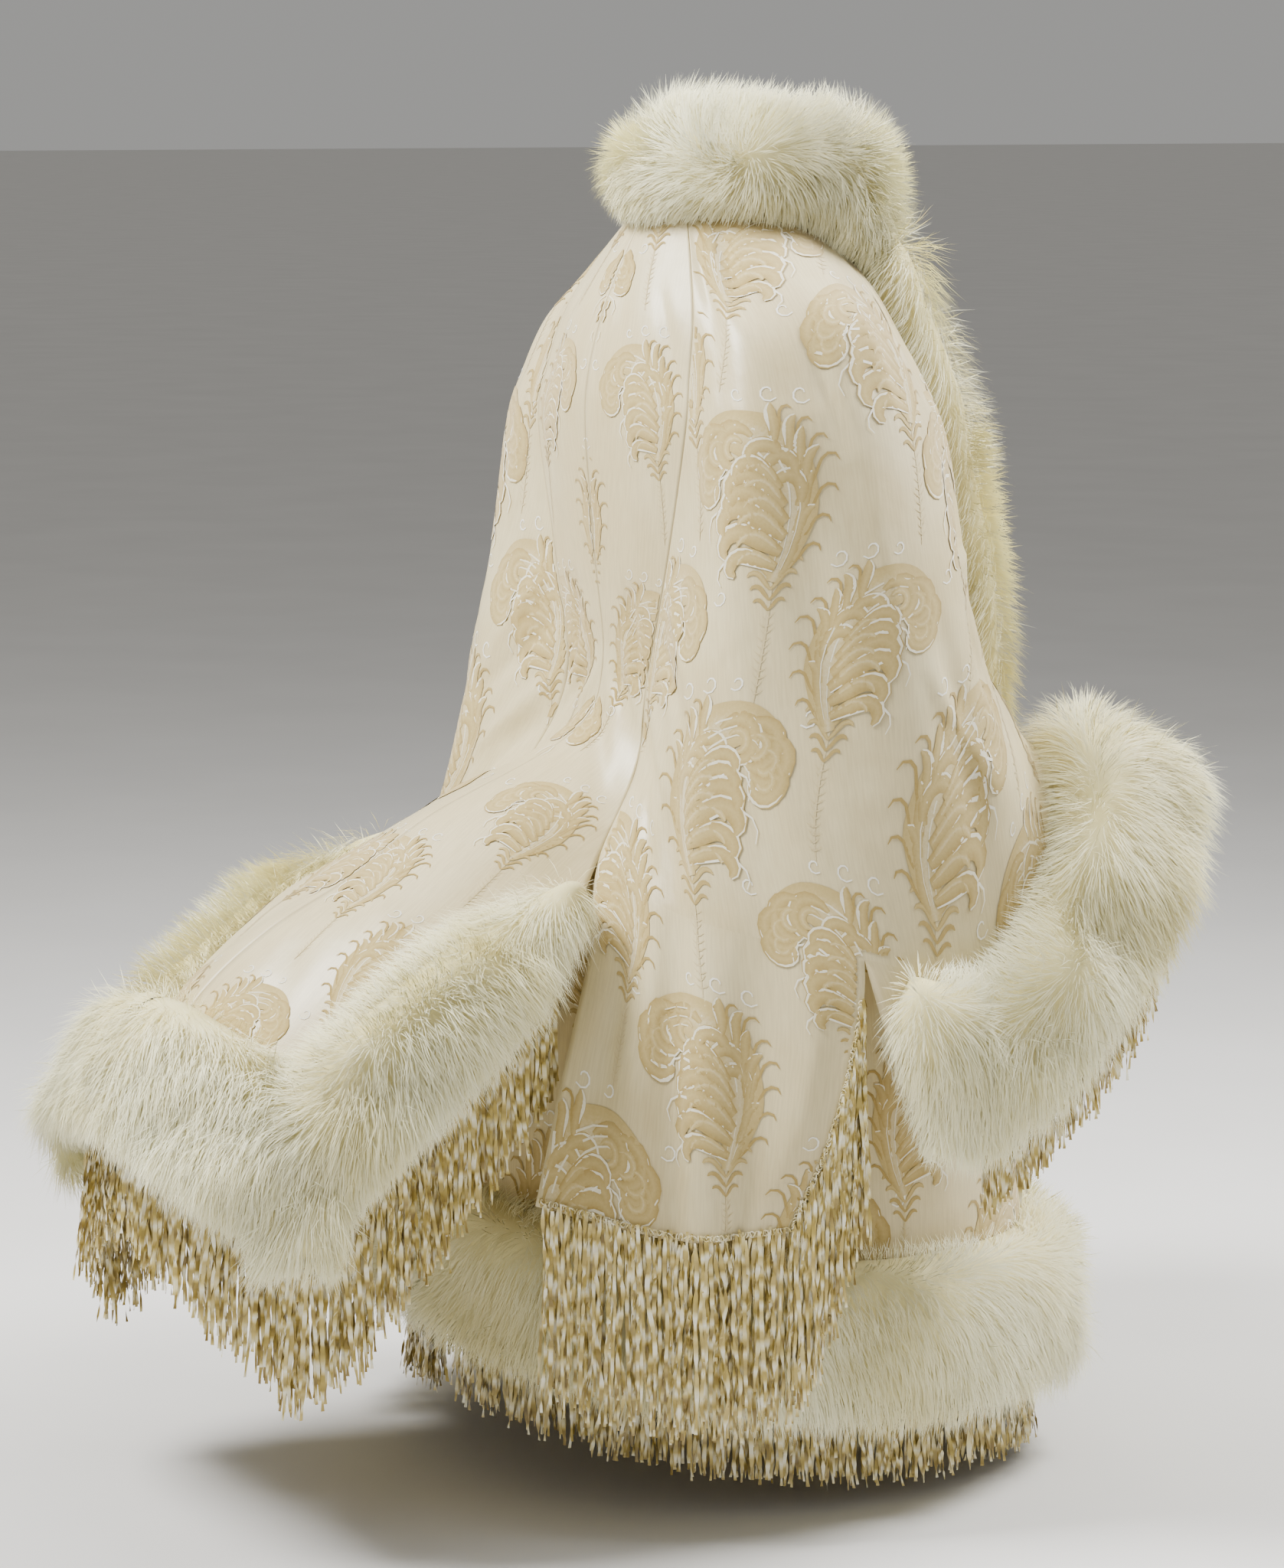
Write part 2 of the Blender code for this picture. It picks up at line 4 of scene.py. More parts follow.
import bpy
import numpy as np
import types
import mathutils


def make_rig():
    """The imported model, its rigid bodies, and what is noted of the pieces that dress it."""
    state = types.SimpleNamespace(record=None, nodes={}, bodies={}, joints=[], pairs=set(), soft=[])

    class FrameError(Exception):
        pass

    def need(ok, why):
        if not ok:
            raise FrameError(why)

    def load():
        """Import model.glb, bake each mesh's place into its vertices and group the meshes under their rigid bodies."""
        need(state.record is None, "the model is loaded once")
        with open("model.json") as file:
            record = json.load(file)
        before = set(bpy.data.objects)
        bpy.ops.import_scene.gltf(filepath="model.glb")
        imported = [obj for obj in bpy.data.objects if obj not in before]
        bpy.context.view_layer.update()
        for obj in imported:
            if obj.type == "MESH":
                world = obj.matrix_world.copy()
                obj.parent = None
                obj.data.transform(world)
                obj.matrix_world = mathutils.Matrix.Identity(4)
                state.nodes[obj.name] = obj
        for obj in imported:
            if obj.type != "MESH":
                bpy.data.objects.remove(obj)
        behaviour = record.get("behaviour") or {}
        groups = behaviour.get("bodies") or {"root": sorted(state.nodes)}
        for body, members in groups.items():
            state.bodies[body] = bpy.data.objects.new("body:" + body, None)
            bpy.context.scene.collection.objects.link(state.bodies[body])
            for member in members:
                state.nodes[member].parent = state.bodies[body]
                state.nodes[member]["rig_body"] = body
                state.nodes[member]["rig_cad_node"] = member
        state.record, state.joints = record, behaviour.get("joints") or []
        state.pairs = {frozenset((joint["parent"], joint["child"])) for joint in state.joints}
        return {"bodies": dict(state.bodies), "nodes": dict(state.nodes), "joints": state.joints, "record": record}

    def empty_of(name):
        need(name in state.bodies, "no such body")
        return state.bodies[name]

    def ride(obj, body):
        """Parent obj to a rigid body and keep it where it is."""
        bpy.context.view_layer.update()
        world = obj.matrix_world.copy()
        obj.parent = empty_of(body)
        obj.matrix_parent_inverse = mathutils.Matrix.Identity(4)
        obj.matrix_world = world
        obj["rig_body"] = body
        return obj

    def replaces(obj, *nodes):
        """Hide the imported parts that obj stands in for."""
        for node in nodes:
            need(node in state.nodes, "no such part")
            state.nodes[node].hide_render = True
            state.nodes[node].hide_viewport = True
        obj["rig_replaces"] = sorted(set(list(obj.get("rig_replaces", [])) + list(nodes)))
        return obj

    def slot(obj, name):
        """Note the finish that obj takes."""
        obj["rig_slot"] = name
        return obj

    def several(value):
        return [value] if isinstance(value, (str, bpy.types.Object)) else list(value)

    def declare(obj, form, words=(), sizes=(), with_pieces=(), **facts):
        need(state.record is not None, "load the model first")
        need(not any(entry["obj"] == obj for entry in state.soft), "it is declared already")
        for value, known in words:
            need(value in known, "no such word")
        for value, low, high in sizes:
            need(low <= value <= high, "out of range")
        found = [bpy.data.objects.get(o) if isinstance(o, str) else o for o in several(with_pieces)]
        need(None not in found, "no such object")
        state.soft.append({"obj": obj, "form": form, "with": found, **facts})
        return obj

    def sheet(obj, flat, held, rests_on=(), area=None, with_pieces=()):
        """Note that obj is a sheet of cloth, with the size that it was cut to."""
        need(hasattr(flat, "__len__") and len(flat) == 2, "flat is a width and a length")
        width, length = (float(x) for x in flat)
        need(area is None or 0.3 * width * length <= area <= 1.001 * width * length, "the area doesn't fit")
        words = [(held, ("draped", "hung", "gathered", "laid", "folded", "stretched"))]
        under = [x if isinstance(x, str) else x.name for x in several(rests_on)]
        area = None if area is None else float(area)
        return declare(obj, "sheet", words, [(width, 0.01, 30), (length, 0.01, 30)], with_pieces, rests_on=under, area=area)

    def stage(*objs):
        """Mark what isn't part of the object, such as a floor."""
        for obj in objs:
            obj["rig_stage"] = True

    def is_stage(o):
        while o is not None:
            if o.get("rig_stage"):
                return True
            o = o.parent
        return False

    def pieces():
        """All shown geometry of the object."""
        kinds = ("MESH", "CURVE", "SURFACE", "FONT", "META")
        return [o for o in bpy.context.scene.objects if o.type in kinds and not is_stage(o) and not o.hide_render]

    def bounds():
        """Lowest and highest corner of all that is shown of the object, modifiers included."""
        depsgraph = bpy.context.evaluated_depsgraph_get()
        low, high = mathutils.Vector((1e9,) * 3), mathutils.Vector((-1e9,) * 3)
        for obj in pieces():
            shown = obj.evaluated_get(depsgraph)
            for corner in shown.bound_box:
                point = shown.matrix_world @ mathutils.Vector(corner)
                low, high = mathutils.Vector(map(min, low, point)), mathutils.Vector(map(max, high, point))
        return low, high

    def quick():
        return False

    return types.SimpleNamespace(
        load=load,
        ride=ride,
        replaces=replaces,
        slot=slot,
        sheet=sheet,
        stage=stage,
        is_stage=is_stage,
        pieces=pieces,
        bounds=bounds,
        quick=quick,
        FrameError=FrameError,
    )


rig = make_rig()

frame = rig.load()
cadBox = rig.bounds()
print("frame loaded")

cm = 0.01
halves = ((False, "Right", "right"), (True, "Left", "left"))  # mirrored or not, and names of the half

# Lines of the right half in centimetres, x, y, z, one row for each level, as the solids have them
centreBack = (
    (0, 8.3, 0.8), (0, 10.6, -3.8), (0, 12.0, -7.2), (0, 13.1, -11.5), (0, 13.35, -16.0), (0, 12.5, -26.0),
    (0, 11.8, -35.6), (0, 15.2, -40.8), (0, 27.5, -46.2), (0, 35.0, -50.8), (0, 42.4, -54.6),
    (0, 48.7, -59.7), (0, 55.0, -68.5),
)
backMiddle = (
    (-2.3, 7.7, 1.05), (-4.1, 9.9, -3.5), (-5.4, 11.3, -7.1), (-6.0, 12.3, -11.5), (-6.2, 12.7, -16.0),
    (-4.7, 12.2, -26.1), (-3.3, 11.7, -35.8), (-4.2, 14.8, -41.5), (-6.3, 24.2, -46.6), (-9.0, 32.0, -51.2),
    (-10.8, 39.0, -56.2), (-11.6, 45.6, -62.6), (-11.5, 52.6, -72.0),
)
sideBackSeam = (
    (-4.5, 6.5, 1.2), (-8.0, 8.2, -3.0), (-10.5, 9.5, -7.0), (-11.6, 10.5, -11.5), (-12.0, 11.1, -16.0),
    (-9.2, 11.1, -26.3), (-6.5, 11.4, -36.0), (-8.2, 13.4, -42.6), (-11.0, 18.5, -49.4),
)
tailEdge = ((-15.5, 25.0, -55.8), (-17.8, 32.3, -62.0), (-18.3, 40.2, -68.5), (-17.0, 48.0, -76.5))
armBack = (
    (-5.9, 4.8, 1.4), (-11.0, 6.6, -3.2), (-15.6, 8.2, -7.4), (-18.0, 9.3, -12.0), (-19.3, 10.1, -16.4),
    (-19.2, 11.5, -26.0), (-19.0, 13.4, -36.0), (-19.3, 14.8, -44.3), (-22.0, 16.4, -52.5),
)
slitLine = (
    (-7.0, 2.4, 1.5), (-13.0, 3.6, -2.8), (-17.8, 3.8, -7.0), (-20.5, 4.2, -11.7), (-22.4, 4.4, -16.2),
    (-24.8, 5.2, -26.0), (-27.0, 6.4, -36.0), (-29.6, 7.2, -45.5), (-32.0, 6.8, -55.0),
)
armSide = (
    (-7.5, 0.0, 1.5), (-13.5, 0.0, -2.4), (-18.5, 0.0, -6.6), (-21.3, 0.0, -11.4), (-23.4, 0.0, -16.0),
    (-26.6, -0.5, -26.0), (-29.2, -1.0, -36.0), (-31.8, -1.5, -46.0), (-34.0, -2.4, -56.6),
)
armFront = (
    (-7.4, -1.6, 1.2), (-12.9, -2.6, -3.0), (-17.4, -3.4, -7.3), (-20.0, -4.4, -12.0), (-22.0, -5.0, -16.3),
    (-24.9, -6.0, -26.0), (-27.3, -6.9, -34.5), (-29.8, -8.5, -41.5), (-32.0, -10.3, -48.3),
)
topFold = (
    (-7.0, -3.0, 0.9), (-12.0, -4.6, -3.7), (-15.6, -6.0, -8.0), (-18.0, -7.3, -12.6), (-19.5, -8.0, -16.8),
    (-20.7, -8.8, -25.5), (-20.9, -9.9, -31.8), (-22.3, -12.0, -36.6), (-24.2, -14.6, -41.0),
)
frontSeam = (
    (-6.5, -4.0, 0.5), (-11.0, -6.2, -4.2), (-13.5, -7.5, -8.5), (-15.6, -8.6, -13.0), (-17.0, -9.4, -17.0),
    (-18.0, -10.2, -25.5), (-18.3, -10.6, -32.5), (-18.6, -11.3, -39.0), (-19.2, -13.0, -46.0),
)
pendantRows = (
    ((-14.8, 21.5, -56.0), (-24.6, 17.6, -60.0), (-32.2, 7.6, -61.5)),
    ((-18.0, 25.5, -64.0), (-26.6, 19.4, -68.0), (-32.0, 9.8, -69.0)),
    ((-20.0, 29.2, -74.2), (-28.0, 20.6, -76.4), (-31.0, 12.8, -76.0)),
)
cuffEdge = (
    (-34.0, 2.8, -69.5), (-35.3, -5.0, -66.5), (-33.8, -17.0, -56.5), (-27.2, -25.0, -46.0),
    (-21.5, -23.0, -52.0),
)
# Place across, depth in centimetres and half width of the pendant's pleats
pendantFolds = ((0.62, 0.5, 0.2), (0.9, -0.7, 0.12), (1.18, 0.6, 0.16), (1.45, -0.6, 0.12))
centreFront = (
    (-0.12, -9.0, -3.5), (-0.12, -11.2, -6.2), (-0.12, -13.6, -9.8), (-0.12, -15.7, -13.6),
    (-0.12, -17.3, -17.5), (-0.12, -18.8, -25.5), (-0.12, -19.6, -36.0), (-0.12, -20.6, -55.0),
    (-0.12, -21.5, -74.0), (-0.12, -22.3, -93.0),
)
chestLine = (
    (-4.0, -7.6, -1.2), (-6.8, -9.8, -5.0), (-8.0, -11.8, -9.2), (-8.8, -13.6, -13.3), (-9.3, -15.0, -17.2),
    (-9.8, -16.6, -25.5), (-10.4, -17.6, -36.0), (-11.6, -19.0, -55.0), (-12.6, -20.0, -74.0),
    (-13.0, -21.0, -93.0),
)
sideFront = ((-17.7, -9.7, -36.0), (-21.0, -11.0, -55.0), (-22.4, -12.0, -74.0), (-23.0, -12.5, -92.0))
sideLine = (
    (-16.5, 0.0, -26.5), (-16.8, 0.0, -36.0), (-22.5, 1.5, -55.0), (-25.0, 2.0, -74.0), (-26.0, 2.0, -91.5),
)
sideBack = (
    (-12.0, 6.5, -26.5), (-11.0, 7.3, -36.0), (-16.0, 13.6, -54.0), (-19.0, 16.4, -72.5),
    (-19.6, 18.0, -89.5),
)
backEdge = (
    (-8.9, 10.75, -26.5), (-6.3, 11.05, -36.0), (-0.3, 17.6, -53.0), (-0.3, 23.2, -71.0), (-0.3, 26.2, -87.0),
)
collarRings = ((8.2, 2.5, 5.9, -8.4), (5.6, 3.9, 6.1, -9.8), (2.6, 5.6, 6.6, -10.4), (0.0, 8.1, 7.4, -9.5))
# Degrees from the back, and height of the neckline or drop of the collar's lower edge
neckline = ((0, 0.8), (36, 1.2), (90, 1.5), (125, 0.5), (150, -1.2), (180, -3.5))
collarDroop = ((0, 0), (60, 0.2), (105, 1.4), (150, 2.8), (180, 2.4))
tailBand = (  # inner place across and down, outer place across and down
    (1.005, 11.05, 1.005, 12.0), (1.45, 11.06, 1.6, 12.0), (1.9, 11.1, 2.3, 12.0), (2.16, 11.1, 3.0, 12.0),
    (2.2, 10.85, 3.0, 11.2), (2.25, 10.4, 3.0, 10.4), (2.35, 9.7, 3.0, 9.6), (2.55, 9.0, 3.0, 8.9),
    (2.8, 8.5, 3.0, 8.45),
)


# Smooth surfaces through those lines
def shares(x, count):
    i = np.clip(np.floor(x).astype(int), 0, count - 2)
    f = np.clip(x - i, 0, 1)
    return i, (
        0.5 * (-f + 2 * f**2 - f**3),
        0.5 * (2 - 5 * f**2 + 3 * f**3),
        0.5 * (f + 4 * f**2 - 3 * f**3),
        0.5 * (-(f**2) + f**3),
    )


def surface(lines):
    grid = np.asarray(lines, float)
    for axis in (0, 1):
        first = 2 * grid.take([0], axis) - grid.take([1], axis)
        last = 2 * grid.take([-1], axis) - grid.take([-2], axis)
        grid = np.concatenate([first, grid, last], axis)

    def at(s, t):
        s, t = np.broadcast_arrays(np.asarray(s, float), np.asarray(t, float))
        i, across = shares(s, grid.shape[0] - 2)
        j, down = shares(t, grid.shape[1] - 2)
        return sum((across[a] * down[b])[..., None] * grid[i + a, j + b] for a in range(4) for b in range(4))

    return at


def patch(lines):
    return surface(np.array([list(line) for line in lines], float) * cm)


def unit(v):
    return v / np.maximum(np.linalg.norm(v, axis=-1, keepdims=True), 1e-9)


def normalAt(at, s, t, step=0.02):
    return unit(np.cross(at(s, t + step) - at(s, t - step), at(s + step, t) - at(s - step, t)))


def flipped(line):
    return [(-x, y, z) for x, y, z in line]


def pleated(at):
    def folded(s, t):
        s, t = np.broadcast_arrays(np.asarray(s, float), np.asarray(t, float))
        deep = np.clip((t - 6.3) / 4.2, 0, 1)
        depth = sum(d * np.exp(-(((s - c) / w) ** 2)) for c, d, w in pendantFolds)
        return at(s, t) + normalAt(at, s, t) * (depth * deep * cm)[..., None]

    return folded


def creased(at, rows, depthUnit=0.0017):
    # Soft troughs and ridges: start and end across and down, half width in millimetres, depth in its unit
    marks = []
    for s0, t0, s1, t1, wide, deep in rows:
        sm, tm = (s0 + s1) / 2, (t0 + t1) / 2
        perS = np.linalg.norm(at(sm + 0.1, tm) - at(sm - 0.1, tm)) / 0.2
        perT = np.linalg.norm(at(sm, tm + 0.1) - at(sm, tm - 0.1)) / 0.2
        ends = np.array((s0, t0)), np.array((s1, t1))
        marks.append((*ends, np.array((perS, perT)), wide * 0.001, deep * depthUnit))

    def folded(s, t):
        s, t = np.broadcast_arrays(np.asarray(s, float), np.asarray(t, float))
        depth = np.zeros(s.shape)
        place = np.stack([s, t], -1)
        for start, end, per, wide, deep in marks:
            way = (end - start) * per
            span = np.linalg.norm(way)
            off = (place - start) * per
            along = np.clip((off @ way) / span**2, 0, 1)
            wave = 0.22 * wide * np.sin(along * 7 + 40 * wide * 1000)
            near = np.linalg.norm(off - along[..., None] * way, axis=-1) + wave
            fade = np.sin(math.pi * np.clip(along, 0.03, 0.97)) ** 0.6
            depth += deep * np.exp(-((near / wide) ** 2)) * fade
        return at(s, t) + normalAt(at, s, t) * depth[..., None]

    return folded


backLine = list(sideBackSeam) + list(tailEdge)
backPlain = patch([flipped(backMiddle), centreBack, backMiddle, backLine])
pendantRear = list(sideBackSeam) + [row[0] for row in pendantRows]
pendantMiddle = list(armBack) + [row[1] for row in pendantRows]
pendantFront = list(slitLine) + [row[2] for row in pendantRows]
pastFront = list(armSide) + [(x - 0.4, y - 6.0, z) for x, y, z in pendantFront[9:]]
armLines = (slitLine, armSide, armFront, topFold, frontSeam)
withCuff = [list(line) + [edge] for line, edge in zip(armLines, cuffEdge)]
sleevePlain = pleated(patch([pendantRear[:10], pendantMiddle[:10], pendantFront[:10]] + withCuff[1:]))
pendantPlain = pleated(patch([pendantRear, pendantMiddle, pendantFront, pastFront]))
cuffPlain = patch([list(armBack) + [(-32.5, 9.5, -71.5)]] + withCuff)
sideFrontWhole = list(frontSeam[:6]) + list(sideFront)
pastBack = [tuple(2 * a - b for a, b in zip(p, q)) for p, q in zip(backEdge[:2], sideBack[:2])]
pastBack += flipped(sideBack[2:])
yokePlain = patch([sideFrontWhole, chestLine, centreFront, flipped(chestLine)])
skirtLines = [backEdge, sideBack, sideLine, sideFrontWhole[5:], chestLine[5:], centreFront[5:]]
skirtPlain = patch([pastBack] + skirtLines + [flipped(chestLine[5:])])

# Creases of the worn cloth, in the units of creased
backCreases = (
    (1.9, 5.2, 2.7, 6.1, 7, -2.2), (2.1, 5.6, 2.9, 6.5, 6, 1.8), (1.5, 5.7, 2.3, 6.4, 8, -2.0),
    (1.15, 5.9, 1.9, 6.5, 8, 1.8), (1.5, 6.6, 2.8, 7.5, 9, -1.6), (1.3, 7.2, 2.6, 8.4, 14, 1.6),
    (2.3, 1.2, 2.8, 3.4, 8, -1.4), (1.3, 0.3, 1.6, 2.6, 9, -1.2), (1.4, 8.6, 2.4, 10.6, 16, 1.8),
    (1.2, 9.2, 1.7, 11.2, 14, -1.8),
)
sleeveCreases = (
    (0.1, 5.1, 0.75, 5.9, 7, 2.6), (0.08, 5.5, 0.9, 6.4, 8, -2.6), (0.06, 6.0, 0.8, 7.2, 9, 2.4),
    (0.1, 6.5, 0.7, 7.9, 10, -2.2), (0.25, 4.2, 0.9, 5.4, 12, -2.0), (1.2, 5.6, 1.9, 7.6, 16, 2.4),
    (1.6, 4.6, 2.3, 6.8, 18, -2.4), (2.6, 4.2, 2.9, 7.4, 16, 2.2), (3.4, 5.2, 3.3, 7.6, 12, -2.4),
    (4.2, 5.3, 4.1, 6.6, 9, -3.2), (4.5, 5.2, 4.4, 6.5, 9, 2.6), (4.9, 4.6, 4.6, 6.6, 10, -2.2),
    (0.15, 0.4, 0.6, 2.6, 8, -1.6), (1.0, 0.1, 1.1, 1.8, 8, -2.6), (2.4, 1.0, 2.6, 3.4, 14, 1.6),
    (4.6, 1.2, 4.9, 3.4, 10, -1.8), (5.3, 3.0, 5.2, 5.4, 8, 1.8), (0.4, 2.6, 0.5, 4.8, 12, 1.8),
    (0.8, 6.4, 0.8, 7.98, 11, -2.4), (1.05, 6.2, 1.05, 7.98, 12, 2.4), (0.3, 6.9, 0.34, 7.98, 12, 2.2),
    (3.0, 5.6, 3.7, 7.0, 10, 2.8), (2.0, 2.0, 2.3, 4.2, 10, -2.0), (3.3, 1.4, 3.4, 3.8, 9, 2.0),
)
pendantCreases = (
    (0.35, 8.02, 0.3, 10.6, 13, -2.6), (1.7, 8.1, 1.75, 10.6, 13, 2.4), (1.05, 8.02, 1.05, 10.9, 12, 2.6),
    (0.8, 8.02, 0.76, 10.9, 11, -2.8), (1.32, 8.05, 1.36, 10.8, 12, -2.6),
)
skirtCreases = (
    (1.5, 1.2, 1.6, 3.3, 18, -3.0), (2.2, 1.0, 2.4, 3.3, 20, 3.0), (2.7, 1.3, 2.9, 3.3, 16, -3.0),
    (3.4, 0.8, 3.5, 3.3, 18, 3.0), (4.1, 0.9, 4.3, 3.3, 16, -3.0), (4.6, 0.6, 4.8, 3.2, 14, 2.6),
)
backAt = creased(backPlain, backCreases)
sleeveAt = creased(sleevePlain, sleeveCreases)
pendantAt = creased(pendantPlain, pendantCreases)
yokeAt = creased(yokePlain, ((0.3, 0.6, 0.5, 3.2, 8, -1.6), (0.7, 2.0, 0.6, 4.6, 10, 1.8)))
skirtAt = creased(skirtPlain, skirtCreases)


# Mesh helpers
def steps(*spans):
    values = [float(spans[0][0])]
    for start, end, count in spans:
        values += [start + (end - start) * (k + 1) / count for k in range(count)]
    return np.array(values)


def makeMesh(name, points, faces, look, left=False):
    points = np.array(points, np.float32)
    faces = np.array(faces, np.int32)
    if left:
        points[:, 0] *= -1
        faces = faces[:, ::-1]
    mesh = bpy.data.meshes.new(name)
    mesh.vertices.add(len(points))
    mesh.vertices.foreach_set("co", points.ravel())
    mesh.loops.add(faces.size)
    mesh.loops.foreach_set("vertex_index", np.ascontiguousarray(faces).ravel())
    mesh.polygons.add(len(faces))
    mesh.polygons.foreach_set("loop_start", np.arange(0, faces.size, faces.shape[1], dtype=np.int32))
    mesh.polygons.foreach_set("use_smooth", np.full(len(faces), True))
    mesh.update(calc_edges=True)
    mesh.materials.append(look)
    obj = bpy.data.objects.new(name, mesh)
    bpy.context.scene.collection.objects.link(obj)
    return obj


def addTone(obj, values):
    tone = obj.data.attributes.new("tone", "FLOAT", "POINT")
    tone.data.foreach_set("value", np.asarray(values, np.float32).ravel())


def gridFaces(rows, columns, first=0):
    k = first + np.arange(rows * columns).reshape(rows, columns)
    return np.stack([k[:-1, :-1], k[1:, :-1], k[1:, 1:], k[:-1, 1:]], -1).reshape(-1, 4)


def onRoot(obj, slot, *nodes):
    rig.ride(obj, "root")
    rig.slot(obj, slot)
    if nodes:
        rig.replaces(obj, *nodes)
    return obj


# Materials
def colour(text):
    parts = [int(text[i : i + 2], 16) / 255 for i in (1, 3, 5)]
    return tuple(p / 12.92 if p <= 0.04045 else ((p + 0.055) / 1.055) ** 2.4 for p in parts) + (1.0,)


def addNode(tree, kind, settings=None, links=None):
    node = tree.nodes.new(kind)
    for key, value in (settings or {}).items():
        if key in node.inputs.keys() or isinstance(key, int):
            node.inputs[key].default_value = value
        else:
            setattr(node, key, value)
    for key, source in (links or {}).items():
        tree.links.new(source, node.inputs[key])
    return node


def newMaterial(name, settings):
    made = bpy.data.materials.new(name)
    made.use_nodes = True
    shader = made.node_tree.nodes["Principled BSDF"]
    for key, value in settings.items():
        shader.inputs[key].default_value = value
    return made, made.node_tree, shader


def ramp(tree, source, stops):
    node = addNode(tree, "ShaderNodeValToRGB", links={"Fac": source})
    for k, (place, text) in enumerate(stops):
        stop = node.color_ramp.elements[k] if k < 2 else node.color_ramp.elements.new(place)
        stop.position = place
        stop.color = colour(text)
    return node.outputs["Color"]


def makeSatin():
    # Silk satin, woven: smooth long floats that shine softly along folds, with faint ribs and small cockles
    values = {"Roughness": 0.36, "Specular IOR Level": 0.5, "Sheen Weight": 0.1, "Sheen Roughness": 0.4}
    made, tree, shader = newMaterial("silkSatin", values)
    cut = addNode(tree, "ShaderNodeUVMap", {"uv_map": "cut"}).outputs["UV"]
    noise = "ShaderNodeTexNoise"
    soft = addNode(tree, noise, {"Scale": 9.0, "Detail": 3.0, "Roughness": 0.55}, {"Vector": cut})
    shade = ramp(tree, soft.outputs["Fac"], ((0.3, "#d8c797"), (0.72, "#e8dbaf")))
    # Threads are 0.2 mm apart, drawn at 1.6 mm so that they show
    stretched = addNode(tree, "ShaderNodeMapping", {"Scale": (1.0, 0.06, 1.0)}, {"Vector": cut})
    threads = addNode(
        tree, noise, {"Scale": 620.0, "Detail": 1.0}, {"Vector": stretched.outputs["Vector"]}
    )
    tint = addNode(
        tree,
        "ShaderNodeMix",
        {"data_type": "RGBA", "blend_type": "MULTIPLY", 0: 0.16},
        {6: shade, 7: ramp(tree, threads.outputs["Fac"], ((0.35, "#b9ad97"), (0.65, "#ffffff")))},
    )
    tree.links.new(tint.outputs[2], shader.inputs["Base Color"])
    cockles = addNode(tree, noise, {"Scale": 38.0, "Detail": 3.0, "Roughness": 0.5}, {"Vector": cut})
    bumpA = addNode(
        tree, "ShaderNodeBump", {"Strength": 0.35, "Distance": 0.0016}, {"Height": cockles.outputs["Fac"]}
    )
    bumpB = addNode(
        tree,
        "ShaderNodeBump",
        {"Strength": 0.1, "Distance": 0.0003},
        {"Height": threads.outputs["Fac"], "Normal": bumpA.outputs["Normal"]},
    )
    tree.links.new(bumpB.outputs["Normal"], shader.inputs["Normal"])
    return made


def makeVelvet():
    # Cut silk velvet pile woven into the satin: matt, darker where it stands, pale where it is uncut; each stroke's
    # darker edge is partly the motif's outline and partly painted shade
    values = {"Roughness": 0.85, "Specular IOR Level": 0.25, "Sheen Weight": 0.35, "Sheen Roughness": 0.5}
    made, tree, shader = newMaterial("silkVelvet", values)
    tone = addNode(tree, "ShaderNodeAttribute", {"attribute_name": "tone"}).outputs["Fac"]
    place = addNode(tree, "ShaderNodeTexCoord").outputs["Object"]
    nap = addNode(tree, "ShaderNodeTexNoise", {"Scale": 420.0, "Detail": 2.0}, {"Vector": place})
    mixed = addNode(
        tree, "ShaderNodeMath", {"operation": "MULTIPLY_ADD", 1: 0.22, 2: -0.11}, {0: nap.outputs["Fac"]}
    ).outputs[0]
    added = addNode(tree, "ShaderNodeMath", {"operation": "ADD"}, {0: tone, 1: mixed}).outputs[0]
    stops = ((0.0, "#fbf8ea"), (1.0, "#a88e4e"), (0.3, "#e5dbb8"), (0.62, "#c7b177"))
    tree.links.new(ramp(tree, added, stops), shader.inputs["Base Color"])
    return made


def makeFur(name, pale, mid, root):
    # Long cream fur: soft guard hairs over a warm underwool, lighter towards the tips; the darker roots are partly the
    # fur's own warm colour and partly painted shade deep in the fur, and the underwool's darker hollows are painted
    # shade
    values = {"Roughness": 0.55, "Specular IOR Level": 0.3, "Sheen Weight": 0.2, "Sheen Roughness": 0.4}
    made, tree, shader = newMaterial(name, values)
    tone = addNode(tree, "ShaderNodeAttribute", {"attribute_name": "tone"}).outputs["Fac"]
    tree.links.new(ramp(tree, tone, ((0.0, root), (1.0, pale), (0.5, mid))), shader.inputs["Base Color"])
    return made


def makeSilk():
    # Twisted silk ribbon, tan, with painted glints that make it bright by turns along each ribbon
    values = {"Roughness": 0.3, "Specular IOR Level": 0.6, "Sheen Weight": 0.1, "Anisotropic": 0.4}
    made, tree, shader = newMaterial("twistedSilkRibbon", values)
    tone = addNode(tree, "ShaderNodeAttribute", {"attribute_name": "tone"}).outputs["Fac"]
    stops = ((0.0, "#8c7430"), (1.0, "#fffae0"), (0.3, "#c8b160"), (0.62, "#efe1a6"))
    tree.links.new(ramp(tree, tone, stops), shader.inputs["Base Color"])
    return made


def makeFloor():
    # Painted studio floor, matt and nearly even
    made, tree, shader = newMaterial("paintedFloor", {"Roughness": 0.9, "Specular IOR Level": 0.2})
    place = addNode(tree, "ShaderNodeTexCoord").outputs["Object"]
    mottle = addNode(tree, "ShaderNodeTexNoise", {"Scale": 3.0, "Detail": 4.0}, {"Vector": place})
    tone = ramp(tree, mottle.outputs["Fac"], ((0.3, "#dbd9d5"), (0.7, "#e0deda")))
    tree.links.new(tone, shader.inputs["Base Color"])
    return made


satin = makeSatin()
velvet = makeVelvet()
furHair = makeFur("longFur", "#fbf8d5", "#f1e9b5", "#d8c882")
furCore = makeFur("underwool", "#f5eebe", "#ebe0a4", "#d7c680")
silk = makeSilk()
print("materials ready")

# Cloth panels: the solid's form with its creases, a thin shell
cloth = {"wall": 0.0016, "seam": 0.0007}


